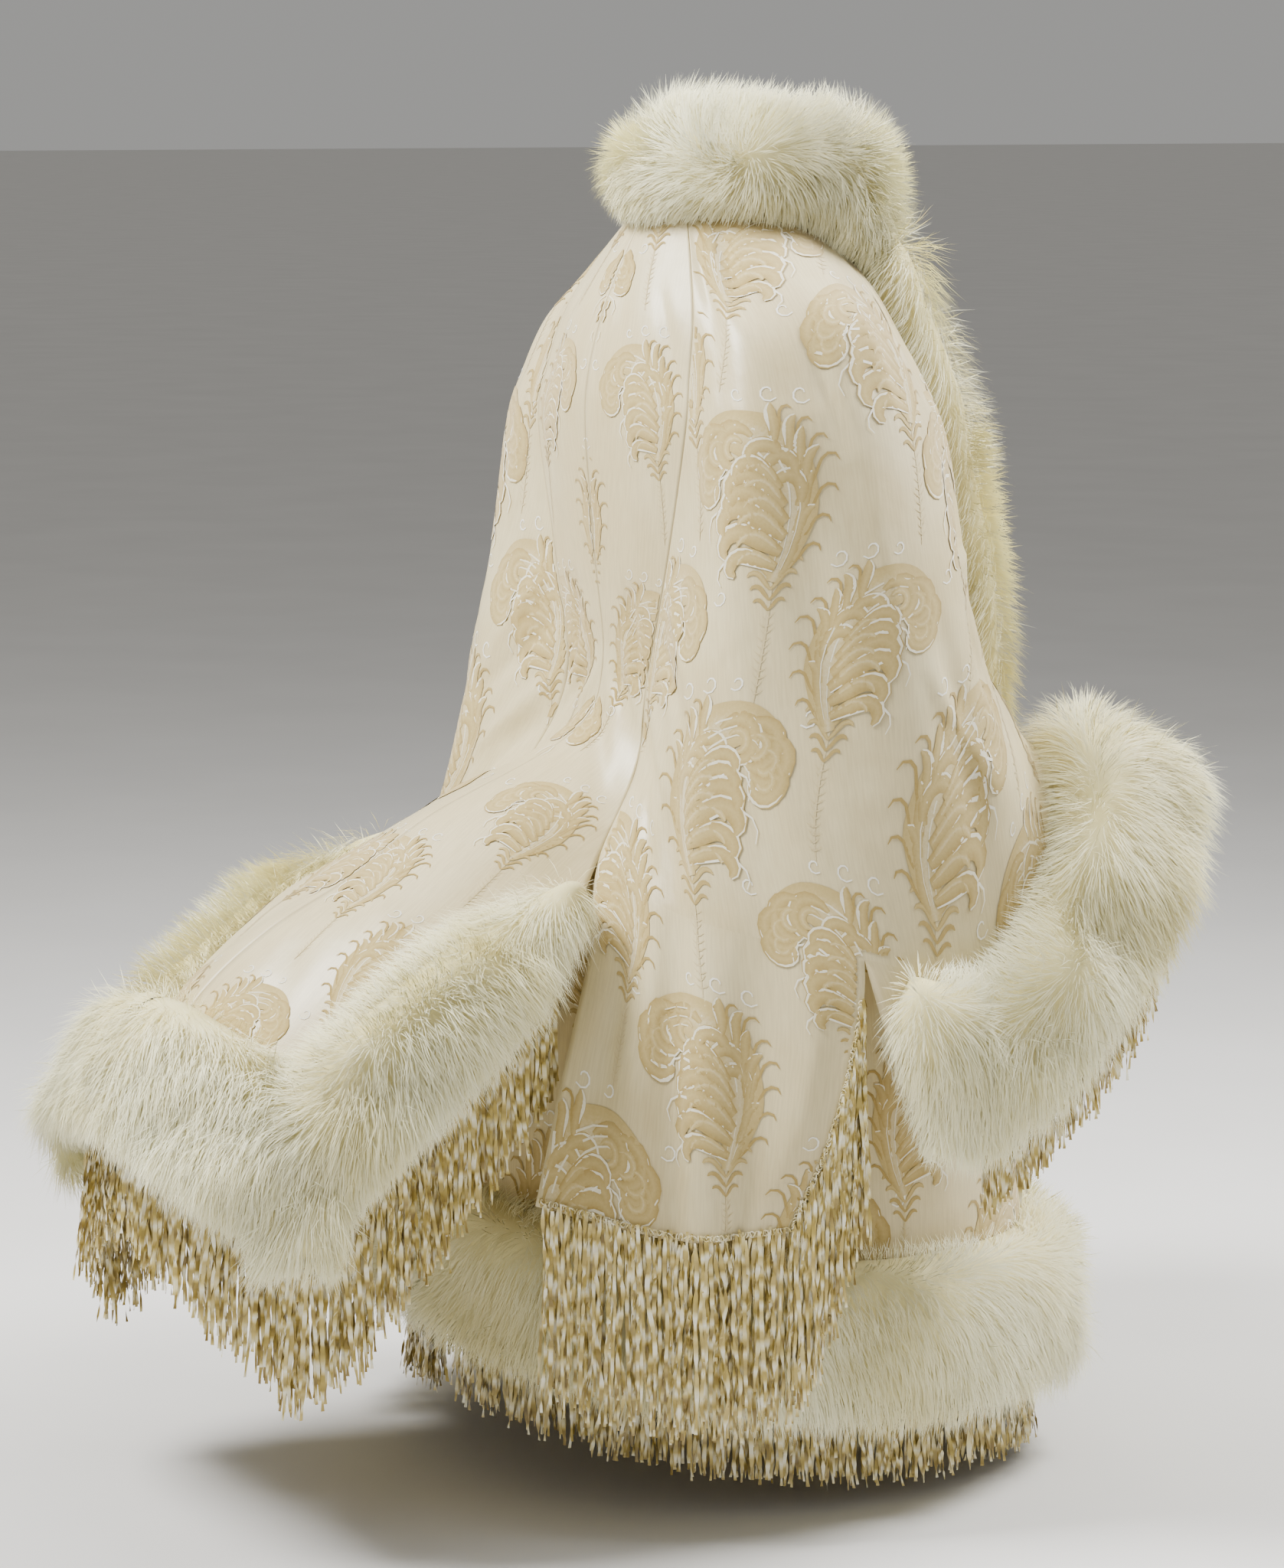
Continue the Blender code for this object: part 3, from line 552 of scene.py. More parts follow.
def spread(grid, middle):
    # Places on the flat cut, in metres: along each row from its middle column, and down that column
    step = np.linalg.norm(np.diff(grid, axis=1), axis=-1)
    along = np.concatenate([np.zeros((len(grid), 1)), np.cumsum(step, axis=1)], axis=1)
    along -= along[:, middle : middle + 1]
    down = np.concatenate([[0], np.cumsum(np.linalg.norm(np.diff(grid[:, middle], axis=0), axis=-1))])
    return along, down


def seamIn(grid, left=True, right=True):
    grid = grid.copy()
    if left:
        grid[:, 0] += unit(grid[:, 1] - grid[:, 0]) * cloth["seam"] / 2
    if right:
        grid[:, -1] += unit(grid[:, -2] - grid[:, -1]) * cloth["seam"] / 2
    return grid


def clothShell(name, grids, left, node):
    points, faces, uvs, first = [], [], [], 0
    for grid in grids:
        along, down = spread(grid, grid.shape[1] // 2)
        uv = np.stack([along, np.broadcast_to(-down[:, None], along.shape)], -1).reshape(-1, 2)
        quad = gridFaces(*grid.shape[:2], first)
        points.append(grid.reshape(-1, 3))
        faces.append(quad)
        uvs.append(uv[quad - first])
        first += len(points[-1])
    points = np.concatenate(points)
    faces = np.concatenate(faces)
    uvs = np.concatenate(uvs)
    _, keep, which = np.unique(np.round(points, 6), axis=0, return_index=True, return_inverse=True)
    obj = makeMesh(name, points[keep], which.ravel()[faces], satin, left)
    layer = obj.data.uv_layers.new(name="cut")
    layer.data.foreach_set("uv", (uvs[:, ::-1] if left else uvs).astype(np.float32).ravel())
    wall = obj.modifiers.new("wall", "SOLIDIFY")
    wall.thickness = cloth["wall"]
    wall.offset = -1
    return onRoot(obj, "satin", node)


def gridOn(at, s, t):
    return at(s[None, :], t[:, None])


backS = steps((1, 3, 32))
backT = steps((0, 5, 44), (5, 8, 50), (8, 12, 50))
pendantS = steps((0, 2, 44))
sleeveS = np.concatenate([pendantS, steps((2, 6, 52))[1:]])
sleeveT = steps((0, 4, 32), (4, 8, 64))
pendantT = steps((8, 11, 40))
cuffT = steps((8, 9, 16))
yokeS = steps((0, 2, 24))
yokeT = steps((0, 5, 44))
skirtSide = 50  # columns of the skirt beside the yoke
skirtS = steps((1, 4, skirtSide), (4, 6, 24))
skirtT = steps((0, 4, 56))

panels = {}
sheets = {}
onCloth = {}  # pieces sewn on, by the node or panel that they stand for
for left, side, low in halves:
    back = seamIn(gridOn(backAt, backS, backT))
    panels["back" + side] = clothShell("satinBack" + side, [back], left, "back_" + low)
    upper = seamIn(gridOn(sleeveAt, sleeveS, sleeveT))
    pendant = seamIn(gridOn(pendantAt, pendantS, pendantT), right=False)
    cuff = seamIn(gridOn(cuffPlain, sleeveS[len(pendantS) - 1 :] - 1, cuffT), left=False)
    pendant[0] = upper[-1, : len(pendantS)]
    cuff[0] = upper[-1, len(pendantS) - 1 :]
    panels["sleeve" + side] = clothShell("satinSleeve" + side, [upper, pendant, cuff], left, "sleeve_" + low)
    yoke = seamIn(gridOn(yokeAt, yokeS, yokeT))
    skirt = seamIn(gridOn(skirtAt, skirtS, skirtT))
    skirt[:, :, 0] = np.minimum(skirt[:, :, 0], -cloth["seam"])
    skirt[0, skirtSide:] = yoke[-1]
    panels["front" + side] = clothShell("satinFront" + side, [yoke, skirt], left, "front_" + low)
    if not left:
        none = np.full((len(pendantT) - 1, len(sleeveS) - len(pendantS), 3), np.nan)
        whole = np.concatenate([upper, np.concatenate([pendant[1:], none], 1)])
        # The front is figured up to its fur bands
        sheets = {"Back": back, "Sleeve": whole, "Yoke": yoke[:, :16], "Skirt": skirt[:49, :63]}
print("cloth panels made")

# Velvet plumes woven into the satin: strokes drawn flat in centimetres, then laid on the panels
plume = {"seed": 11, "kinds": 3, "points": 13, "fewPoints": 10, "rowGap": 0.45, "thin": 0.16}
# Heights in metres: of all strokes, of a stroke's middle, of each stroke over the one before, of pale streaks
plume |= {"lift": 0.0003, "pile": 0.0001, "step": 0.000006, "rimLift": 0.00003}
quill = ((0.05, -3.9), (-0.7, -1.5), (-1.0, 1.2), (-0.4, 3.8), (1.2, 5.7), (3.4, 6.4), (5.2, 5.6), (5.6, 4.4))


def curveThrough(points, u):
    line = np.asarray(points, float)
    return surface(np.stack([line, line]))(np.zeros(np.shape(u)), np.asarray(u) * (len(line) - 1))


def drawPlume(seed):
    rng = np.random.default_rng(seed)
    # Centre line, half width along it, tone of its middle and edge, extra height; later ones lie higher
    strokes = []

    def stroke(line, wide, tone, swell=(0.45, 0.85, 1.0, 0.9, 0.25), pale=0):
        u = np.linspace(0, 1, len(line))
        half = wide * np.interp(u, (0, 0.25, 0.6, 0.85, 1), swell)
        # The middle is paler than the edge: partly the motif's darker outline, partly painted shade that makes the low
        # pile look rounded
        strokes.append((line, half, tone - 0.26, tone, 0.0))
        if pale:
            way = unit(np.gradient(line, axis=0))
            edge = line + np.stack([-way[:, 1], way[:, 0]], 1) * (pale * 0.72 * half)[:, None]
            streak(edge[len(edge) // 3 :], (0.02, 0.15, 0.04), 0.2)

    def streak(line, widths, tone=0.03):
        u = np.linspace(0, 1, len(line))
        strokes.append((line, np.interp(u, (0, 0.55, 1), widths), tone, tone, plume["rimLift"]))

    def barb(root, angle, length, bend, hook, wide, tone, pale=0, since=0.3):
        # A barb leaves the quill at an angle, bends, and curls at its tip
        u = np.linspace(0, 1, plume["points"] if wide > 0.3 else plume["fewPoints"])
        turn = angle + bend * u + hook * np.clip((u - since) / (1 - since), 0, 1) ** 1.4
        way = np.stack([np.cos(turn), np.sin(turn)], 1) * length / (len(u) - 1)
        line = root + np.concatenate([[(0, 0)], np.cumsum(way[:-1], axis=0)])
        if tone < 0.2:
            streak(line, (0.4 * wide, wide, 0.3 * wide), tone)
        else:
            stroke(line, wide, tone, pale=pale)

    # Pale curls floating about the head, then the stem with its fine hairs and the small barbs at the foot
    for x, y, size in ((-1.8, 8.4, 0.75), (0.4, 8.9, 0.7), (2.6, 9.0, 0.55), (7.8, 6.8, 0.7)):
        turn = np.linspace(-2.4, 3.0, 9)
        spin = np.linspace(1.0, 0.35, 9)[:, None] * size
        streak(np.stack([np.cos(turn), np.sin(turn)], 1) * spin + (x, y), (0.05, 0.07, 0.04))
    stem = curveThrough(((0.1, -3.6), (0.12, -6.4), (0.22, -9.2), (0.4, -12.0)), np.linspace(0, 1, 8))
    stroke(stem, 0.1, 0.5, (1, 0.9, 0.75, 0.6, 0.4))
    for k in range(11):
        root = np.array((0.12 + 0.02 * k, -6.4 - 0.5 * k))
        for sign in (-1, 1):
            tip = root + np.array((sign * rng.uniform(0.35, 0.6), rng.uniform(0.2, 0.5)))
            stroke(np.array((root, (root + tip) / 2 - (0, 0.05), tip)), 0.045, 0.5, (1, 1, 0.8, 0.5, 0.2))
    for k in range(4):
        root = np.array((0.1 + 0.02 * k, -3.7 - 0.7 * k))
        barb(root, 2.3, 2.7 - 0.42 * k, -0.3, 2.6, 0.2 - 0.025 * k, 0.88, since=0.4)
        barb(root, 0.85, 2.7 - 0.42 * k, 0.3, -2.6, 0.2 - 0.025 * k, 0.88, since=0.4)
    # A filled body runs from the foot up and over into the head
    stroke(curveThrough(quill, np.linspace(0, 1, 34)), 1.7, 0.74, (0.25, 1.0, 1.0, 0.62, 0.6))
    # Flames and thin hooks on the outer side, longest at the middle
    for k in range(7):
        u = 0.02 + 0.085 * k
        root = curveThrough(quill, u) + (-0.25, 0)
        long = np.interp(u, (0, 0.25, 0.55), (3.0, 4.2, 2.6)) * rng.uniform(0.92, 1.08)
        barb(root + (-0.1, 0.1), 2.5 - 0.09 * k, 1.12 * long, -0.7, 3.6, 0.11, 0.95, since=0.5)
        barb(root, 2.15 - 0.07 * k, long, -0.65, 0.9 + 0.9 * (k % 2), 0.42, 0.9, -1, since=0.5)
    # The crest: round lobes that turn over forwards
    for x, y, angle, long in ((-1.5, 1.2, 1.7, 3.6), (-1.2, 2.9, 1.4, 3.6), (-0.2, 4.3, 1.0, 3.6)):
        barb(np.array((x, y)), angle, long, -0.4, -2.8, 0.55, 0.9, 1, since=0.1)
    for shift in (-0.75, -0.15, 0.45):
        u = np.linspace(0.05, 0.9, 13)
        line = curveThrough(quill, u)
        way = unit(np.gradient(line, axis=0))
        aside = shift * np.interp(u, (0, 0.3, 1), (0.3, 1.2, 0.8))
        streak(line + np.stack([-way[:, 1], way[:, 0]], 1) * aside[:, None], (0.02, 0.08, 0.02), 0.24)
    # The drooping head: broad crescents that lie over each other like scales
    for k, (x, y, wide) in enumerate(((3.2, 5.2, 1.6), (4.6, 4.9, 1.7), (5.4, 4.0, 1.6), (5.5, 2.9, 1.3))):
        turn = np.radians(np.linspace(150 - 28 * k, -95 - 30 * k, 12))
        arc = np.stack([np.cos(turn), np.sin(turn)], 1) * wide * np.linspace(1.0, 0.72, 12)[:, None]
        stroke(arc + (x, y), 0.6, 0.92, (0.3, 0.9, 1.0, 0.8, 0.2), pale=1)
        stroke(arc * 0.5 + (x, y), 0.32, 0.8, (0.3, 0.9, 1.0, 0.8, 0.2))
    # Lobes on the inner side sweep up and curl over, each with a pale rim, every second with a pale tendril
    lobes = (
        (-0.1, 2.3, 0.8, 0.88),
        (-0.45, 1.1, 0.95, 0.84),
        (-0.6, 0.0, 1.04, 0.8),
        (-0.55, -1.0, 1.06, 0.72),
        (-0.35, -2.0, 0.96, 0.6),
        (-0.1, -2.9, 0.78, 0.46),
    )
    for k, (x, y, size, angle) in enumerate(lobes):
        root = np.array((x, y))
        some = rng.uniform(0.93, 1.07, 3)
        if k % 2:
            long = 7.2 * size * some[0]
            barb(root + (0.2, -0.3), angle - 0.1, long, -0.2, -3.0 * some[1], 0.1, 0.12, since=0.4)
        barb(root, angle, 6.2 * size * some[0], -0.1, -3.3 * some[1], 0.74 * size, 0.94, 1, since=0.35)
        barb(root + (0.1, 0.15), angle + 0.14, 3.8 * size * some[2], -0.1, -2.2, 0.36 * size, 0.78)

    points, tones, highs, faces, first = [], [], [], [], 0
    for number, (line, half, middle, edge, extra) in enumerate(strokes):
        way = unit(np.gradient(line, axis=0))
        aside = np.stack([-way[:, 1], way[:, 0]], 1) * half[:, None]
        # Wide strokes have more rows, so that they follow the creases of the cloth
        sides = math.ceil(np.max(half) / plume["rowGap"]) if np.max(half) > plume["thin"] else 0
        across = np.linspace(1, -1, 2 * sides + 1) if sides else np.array((1.0, -1.0))
        rise = 1 - np.abs(across)
        # Painted shade in part: tone runs from the paler middle to the darker edge across each stroke
        tone = edge + (middle - edge) * rise
        swell = np.clip(half / 0.3, 0.2, 1.0)[:, None] * rise
        points.append((line[:, None] + aside[:, None] * across[None, :, None]).reshape(-1, 2))
        highs.append((swell * plume["pile"] + plume["step"] * number + plume["lift"] + extra).reshape(-1))
        tones.append(np.broadcast_to(tone, swell.shape).reshape(-1))
        faces.append(gridFaces(len(line), len(across), first))
        first += len(points[-1])
    return np.concatenate(points) * cm, np.concatenate(highs), np.concatenate(tones), np.concatenate(faces)


templates = [drawPlume(plume["seed"] + k) for k in range(plume["kinds"])]


def flatPlaces(grid, middle):
    # Finds the row and column of the panel's grid for places on its flat cut, in metres
    along, down = spread(grid, middle)
    reach = np.linspace(np.nanmin(along), np.nanmax(along), 300)
    table = []
    for row in along:
        kept = ~np.isnan(row)
        table.append(np.interp(reach, row[kept], np.arange(len(row))[kept], left=np.nan, right=np.nan))
    table = np.array(table)

    def find(a, b):
        row = np.interp(b, down, np.arange(len(down)), left=np.nan, right=np.nan)
        column = (a - reach[0]) / (reach[1] - reach[0])
        bad = np.isnan(row) | (column < 0) | (column > len(reach) - 1.001)
        row, column = np.where(bad, 0, row), np.where(bad, 0, column)
        i = np.clip(row.astype(int), 0, len(down) - 2)
        j = np.clip(column.astype(int), 0, len(reach) - 2)
        f, g = row - i, column - j
        place = (1 - f) * ((1 - g) * table[i, j] + g * table[i, j + 1])
        place = place + f * ((1 - g) * table[i + 1, j] + g * table[i + 1, j + 1])
        return np.where(bad, np.nan, place), row

    return find


def onGrid(values, column, row):
    i = np.clip(row.astype(int), 0, values.shape[0] - 2)
    j = np.clip(column.astype(int), 0, values.shape[1] - 2)
    f, g = (row - i)[:, None], (column - j)[:, None]
    upper = (1 - g) * values[i, j] + g * values[i, j + 1]
    lower = (1 - g) * values[i + 1, j] + g * values[i + 1, j + 1]
    return (1 - f) * upper + f * lower


def layPlumes(name, grid, middle, rows, left):
    # rows: place across and down in centimetres on the flat cut, turn in degrees, mirrored or not, size
    find = flatPlaces(grid, middle)
    normals = unit(np.cross(np.gradient(grid, axis=0), np.gradient(grid, axis=1)))
    allPoints, allTones, allFaces, first = [], [], [], 0
    for number, (a, b, turn, sign, size) in enumerate(rows):
        points, highs, tones, faces = templates[number % len(templates)]
        c, s = math.cos(math.radians(turn)), math.sin(math.radians(turn))
        x, y = (points[:, 0] - 0.014) * sign * size, points[:, 1] * size
        column, row = find(x * c - y * s + a * cm, -(x * s + y * c) + b * cm)
        good = ~np.isnan(column)
        column = np.where(good, column, 0)
        place = onGrid(grid, column, row) + onGrid(normals, column, row) * highs[:, None]
        good &= ~np.isnan(place[:, 0])
        kept = faces[good[faces].all(1)]
        if not len(kept):
            continue
        allPoints.append(place)
        allTones.append(tones)
        allFaces.append((kept[:, ::-1] if sign < 0 else kept) + first)
        first += len(place)
    used, faces = np.unique(np.concatenate(allFaces), return_inverse=True)
    obj = makeMesh(name, np.concatenate(allPoints)[used], faces.reshape(-1, 4), velvet, left)
    addTone(obj, np.concatenate(allTones)[used])
    return onRoot(obj, "satin")


def halfDrop(across, down, wide, high, size):
    # Columns of plumes, each second column dropped by half, turned by turns to either side
    rows = []
    for k in range(int((across[1] - across[0]) / wide) + 1):
        for j in range(-1, int((down[1] - down[0]) / high) + 2):
            sign = 1 if (k + j) % 2 == 0 else -1
            sway = 8 * math.sin(2.3 * k + 1.7 * j) - 6 * sign
            drop = down[0] + (j + 0.5 + 0.5 * (k % 2)) * high
            own = size * (0.97 + 0.05 * math.sin(3.1 * k + j))
            rows.append((across[0] + k * wide, drop, sway, sign, own))
    return rows


# Spacing across and down, and size, on each panel
plumeRows = {
    "Back": (16, halfDrop((-7.0, 9), (-2, 100), 8.4, 19.5, 0.86)),
    "Sleeve": (22, halfDrop((-19, 60), (-5, 88), 10.4, 23.0, 1.16)),
    "Yoke": (8, halfDrop((-8, 8), (0, 30), 8.4, 21.0, 0.8)),
    "Skirt": (30, halfDrop((-44, 44), (0, 62), 10.4, 23.0, 1.16)),
}
for left, side, low in halves:
    for part, (middle, rows) in plumeRows.items():
        name = "velvet" + part + side
        onCloth[name] = [layPlumes(name, sheets[part], middle, rows, left)]
print("plumes laid")

# Fur bands: an underwool form and long hairs that lie outwards and fall
fur = {"rim": 0.12, "coreShare": 0.82, "lump": 0.004, "columns": 17, "quickShare": 0.3}
# Hairs: width, size of a lock, share of loose ones, length as a share of the band's height
# and over it, the same over it for the middle hair of a lock
fur |= {"wide": 0.0008, "lock": 0.015, "wisps": 0.16}
fur |= {"lengthShare": 0.42, "lengthMore": 0.016, "lockMore": 0.015}
# How they stand off the form, lean out at the band's ends, wander, and are drawn into locks at most
fur |= {"stand": 0.4, "wispStand": 0.9, "endLean": 0.9, "wander": 0.22, "pull": 0.3}
# How far hairs lean across the band, from its inner edge to its outer one
bandLean = ((0, -0.45), (0.1, -0.15), (0.35, 0.3), (0.7, 0.6), (1, 0.8))
frontLean = ((0, -0.6), (0.25, -0.4), (0.55, 0.1), (0.85, 0.6), (1, 1.4))
frontReach = ((0, 1.25), (0.3, 1), (1, 1.15))  # long at the centre, where the two bands meet
collarLean = ((0, -0.6), (0.35, -0.3), (0.55, 0.1), (1, 0.6))
# Hairs end within this share and distance past the solids' box
fur |= {"roomShare": 0.03, "roomMore": 0.007}
boxSize = np.array(cadBox[1]) - cadBox[0]
roomLow = np.array(cadBox[0]) - fur["roomShare"] * boxSize - fur["roomMore"]
roomHigh = np.array(cadBox[1]) + fur["roomShare"] * boxSize + fur["roomMore"]


def gradients(grid):
    along = np.gradient(grid, axis=0)
    across = np.gradient(grid, axis=1)
    return unit(along), unit(across)


def crownShare(u, v, ends):
    # ends: whether the band runs out at its start and at its end
    across = (1 - np.abs(2 * v - 1) ** 2.4) ** (1 / 2.4)
    near = np.where(u < 0.5, ends[0], ends[1]) * np.abs(2 * u - 1)
    return fur["rim"] + (1 - fur["rim"]) * across * (1 - near**10) ** 0.25


def drift(points, size, seed):
    # A smooth, slow wander of direction over the fur
    rng = np.random.default_rng(seed)
    out = np.zeros(points.shape)
    for k in range(5):
        way = rng.normal(size=(3, 3)) / size
        out += np.sin(points @ way.T + rng.uniform(0, 6.28, 3)) / 5**0.5
    return out


def makeFurBand(name, base, high, core, hairs, left, node, profile=None, fall=0.35, seed=0,
                leanRow=bandLean, reachRow=((0, 1.25), (0.3, 1), (0.7, 1), (1, 0.7)), ends=(1, 1)):
    # base: grid of points, along the band by across it; core: a point that the fur faces away from
    rng = np.random.default_rng(100 + seed)
    nu, nv = base.shape[0], fur["columns"]
    # Columns stand closer towards the edges, where the fur rises steeply
    v = (0.5 - 0.5 * np.cos(np.linspace(0, math.pi, nv)))[None, :]
    u = np.linspace(0, 1, nu)[:, None]
    base = surface(base)(np.arange(nu)[:, None], v * (base.shape[1] - 1))
    along, across = gradients(base)
    normal = unit(np.cross(along, across))
    outward = np.sign(np.sum((normal * (base - np.asarray(core))).sum(-1)))
    normal = normal * outward
    share = crownShare(u, v, ends)
    if profile is not None:
        share = share * np.interp(u, *zip(*profile))
    height = share * high

    # Underwool form with soft lumps
    lumps = fur["lump"] * drift(base + normal * height[..., None], 0.02, seed)[..., 0]
    lumps = lumps * np.clip(share * 1.4 - 0.2, 0, 1)
    form = base + normal * ((height - fur["rim"] * high * 0.98) * fur["coreShare"] + lumps)[..., None]
    faces = gridFaces(nu, nv)[:, :: -int(outward)]
    under = makeMesh(name + "Underwool", form.reshape(-1, 3), faces, furCore, left)
    # Painted shade: the underwool is darker in the hollows between its lumps and paler on their tops
    addTone(under, np.clip(0.55 + 30 * lumps, 0, 1).reshape(-1))
    onRoot(under, "fur")

    # Hairs grow all over that form
    along, across = gradients(form)
    facing = unit(unit(np.cross(along, across)) * outward + 0.3 * normal)
    look = surface(np.concatenate([form, facing, across, along, height[..., None]], -1))
    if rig.quick():
        hairs = int(hairs * fur["quickShare"])
    area = np.linalg.norm(np.cross(np.diff(form, axis=0)[:, :-1], np.diff(form, axis=1)[:-1]), axis=-1)
    cell = rng.choice(area.size, hairs, p=(area / area.sum()).ravel())
    uu = cell // (nv - 1) + rng.random(hairs)
    vv = cell % (nv - 1) + rng.random(hairs)
    wisp = rng.random(hairs) < fur["wisps"]

    def shareAcross(b):
        return np.interp(b, np.arange(nv), v[0])

    def rootAt(a, b, deep, stand):
        found = look(a, b)
        n, x, y, tall = unit(found[:, 3:6]), unit(found[:, 6:9]), unit(found[:, 9:12]), found[:, 12]
        place = found[:, :3] - n * deep[:, None]
        lean = np.interp(shareAcross(b), *zip(*leanRow)) * np.where(stand > 0.5, 0.45, 1.0)
        endLean = np.interp(a / (nu - 1), (0, 0.06, 0.94, 1), (-fur["endLean"], 0, 0, fur["endLean"]))
        way = n * stand[:, None] + x * lean[:, None] + y * endLean[:, None]
        way = way + drift(place, 0.05, seed + 7) * fur["wander"]
        way[:, 2] -= fall * 0.5
        return place, n, unit(way), tall

    stand = np.where(wisp, fur["wispStand"], fur["stand"])
    root, n, way, tall = rootAt(uu, vv, rng.uniform(0, 0.005, hairs), stand)
    way = unit(way + rng.normal(0, 1, (hairs, 3)) * np.where(wisp, 0.26, 0.17)[:, None])
    reach = np.interp(shareAcross(vv), *zip(*reachRow))
    length = (fur["lengthShare"] * tall + fur["lengthMore"]) * rng.uniform(0.7, 1.25, hairs) * reach

    # Locks: tips are drawn towards the tip of the lock's middle hair
    lockU = fur["lock"] / max(np.linalg.norm(np.diff(form, axis=0), axis=-1).mean(), 1e-5)
    lockV = fur["lock"] / max(np.linalg.norm(np.diff(form, axis=1), axis=-1).mean(), 1e-5)
    gu = np.round(uu / lockU + 0.35 * np.sin(vv / lockV * 2.1))
    gv = np.round(vv / lockV + 0.35 * np.sin(uu / lockU * 1.7))
    mu = np.clip((gu - 0.35 * np.sin(gv * 2.1) + 0.4 * np.sin(gu * 12.9 + gv * 78.2)) * lockU, 0, nu - 1)
    mv = np.clip((gv - 0.35 * np.sin(gu * 1.7) + 0.4 * np.sin(gu * 39.3 + gv * 11.1)) * lockV, 0, nv - 1)
    lockRoot, _, lockWay, lockTall = rootAt(mu, mv, np.full(hairs, 0.002), np.full(hairs, fur["stand"]))
    lockTip = lockRoot + lockWay * ((fur["lengthShare"] * lockTall + fur["lockMore"]) * reach)[:, None]
    lockTip[:, 2] -= fall * 0.008
    tip = root + way * length[:, None] - n * (0.1 * length)[:, None]
    tip[:, 2] -= fall * length * 0.5
    pull = np.where(wisp, 0.0, rng.uniform(0.0, fur["pull"], hairs))[:, None]
    tip = tip * (1 - pull) + lockTip * pull
    room = np.where(tip > root, roomHigh - root, root - roomLow) / np.maximum(np.abs(tip - root), 1e-6)
    tip = root + (tip - root) * np.clip(room.min(1), 0.1, 1)[:, None]
    middle = root * 0.55 + tip * 0.45 + n * (0.12 * length)[:, None]
    wide = fur["wide"] * rng.uniform(0.6, 1.2, hairs) * np.where(wisp, 0.6, 1.0)
    aside = unit(np.cross(tip - root, n)) * wide[:, None] * 0.5
    points = np.stack([root, middle - aside, middle + aside, tip], 1)
    k = 4 * np.arange(hairs)[:, None]
    faces = np.concatenate([k + (0, 2, 1), k + (1, 2, 3)], 1).reshape(-1, 3)
    obj = makeMesh(name, points.reshape(-1, 3), faces, furHair, left)
    shade = rng.normal(0, 0.08, hairs) + 0.06 * np.sin(gu * 5.1 + gv * 9.7)
    shade = shade + 0.16 * drift(root, 0.04, seed + 3)[:, 0]
    # Darker at the root, paler at the tip: partly the fur's own warm colour, partly painted shade deep in the fur
    tone = np.array((0.5, 0.7, 0.7, 0.95))[None, :] + shade[:, None]
    addTone(obj, np.clip(tone, 0, 1).reshape(-1))
    # Hairs are lit as part of the whole band, softened by their own turn
    own = unit(np.cross(aside, tip - root))
    own *= np.sign((own * n).sum(-1, keepdims=True))
    normals = unit(n * 0.85 + own * 0.25) * ((-1, 1, 1) if left else (1, 1, 1))
    obj.data.normals_split_custom_set_from_vertices(np.repeat(normals, 4, axis=0).tolist())
    onCloth[node] = [under, obj]
    return onRoot(obj, "fur", node)


def overhang(grid, reach=0.008):
    way = unit(grid[:, -1] - grid[:, -2])
    more = [(grid[:, -1] + way * reach * share)[:, None] for share in (0.5, 1.0)]
    return np.concatenate([grid] + more, 1)


def lifted(at, s, t, gap=0.0012):
    return at(s, t) + normalAt(at, s, t) * gap


for left, side, low in halves:
    across = np.linspace(0, 1, 9)
    chest = lifted(yokePlain, (1.04 + 0.92 * across)[None, :], np.linspace(0.06, 4.5, 16)[:, None])
    waist = lifted(skirtPlain, (5.04 + 0.92 * across)[None, :], np.linspace(0, 3.3, 24)[:, None])
    profile = (
        (0, 1.5), (0.06, 1.25), (0.13, 0.95), (0.25, 0.74), (0.5, 0.66), (0.7, 0.56), (0.85, 0.46), (1, 0.42),
    )
    makeFurBand("furFront" + side, np.concatenate([chest, waist]), 0.060, (0, 0.1, -0.4), 17000, left,
                "front_fur_" + low, profile, fall=0.4, seed=1, leanRow=frontLean, reachRow=frontReach,
                ends=(0, 1))
    hemGrid = lifted(skirtPlain, np.linspace(1.01, 5.99, 56)[:, None], np.linspace(3.37, 3.98, 8)[None, :])
    makeFurBand("furHem" + side, overhang(hemGrid), 0.048, (0, 0, -0.9), 25000, left, "hem_fur_" + low,
                fall=0.45, seed=2, ends=(0, 0))
    k = np.linspace(0, 8, 44)
    edges = surface(np.stack([np.array(tailBand)] * 2))(np.zeros(44), k)
    share = np.linspace(0, 1, 9)
    sPlace = edges[:, :1] + (edges[:, 2:3] - edges[:, :1]) * share
    tPlace = edges[:, 1:2] + (edges[:, 3:4] - edges[:, 1:2]) * share
    tailGrid = lifted(backPlain, sPlace, tPlace, 0.0026)
    profile = ((0, 1), (0.55, 1), (0.75, 1.12), (1, 1))
    makeFurBand("furTail" + side, overhang(tailGrid), 0.056, (0, 0.25, -1.1), 25000, left,
                "tail_fur_" + low, profile, fall=0.35, seed=3, ends=(0, 1))
    s = np.linspace(1.04, 4.94, 40)
    start = np.interp(s, (1.04, 1.35), (8.4, 8.02))
    tPlace = start[:, None] + (8.98 - start[:, None]) * np.linspace(0, 1, 9)[None, :]
    cuffGrid = lifted(cuffPlain, np.broadcast_to(s[:, None], tPlace.shape), tPlace)
    profile = ((0, 0.5), (0.05, 0.86), (0.12, 1.04), (0.36, 1.08), (0.47, 0.74), (0.58, 1.06), (1, 1))
    makeFurBand("furCuff" + side, overhang(cuffGrid), 0.056, (-0.22, -0.02, -0.5), 21000, left,
                "cuff_fur_" + low, profile, fall=0.4, seed=4)

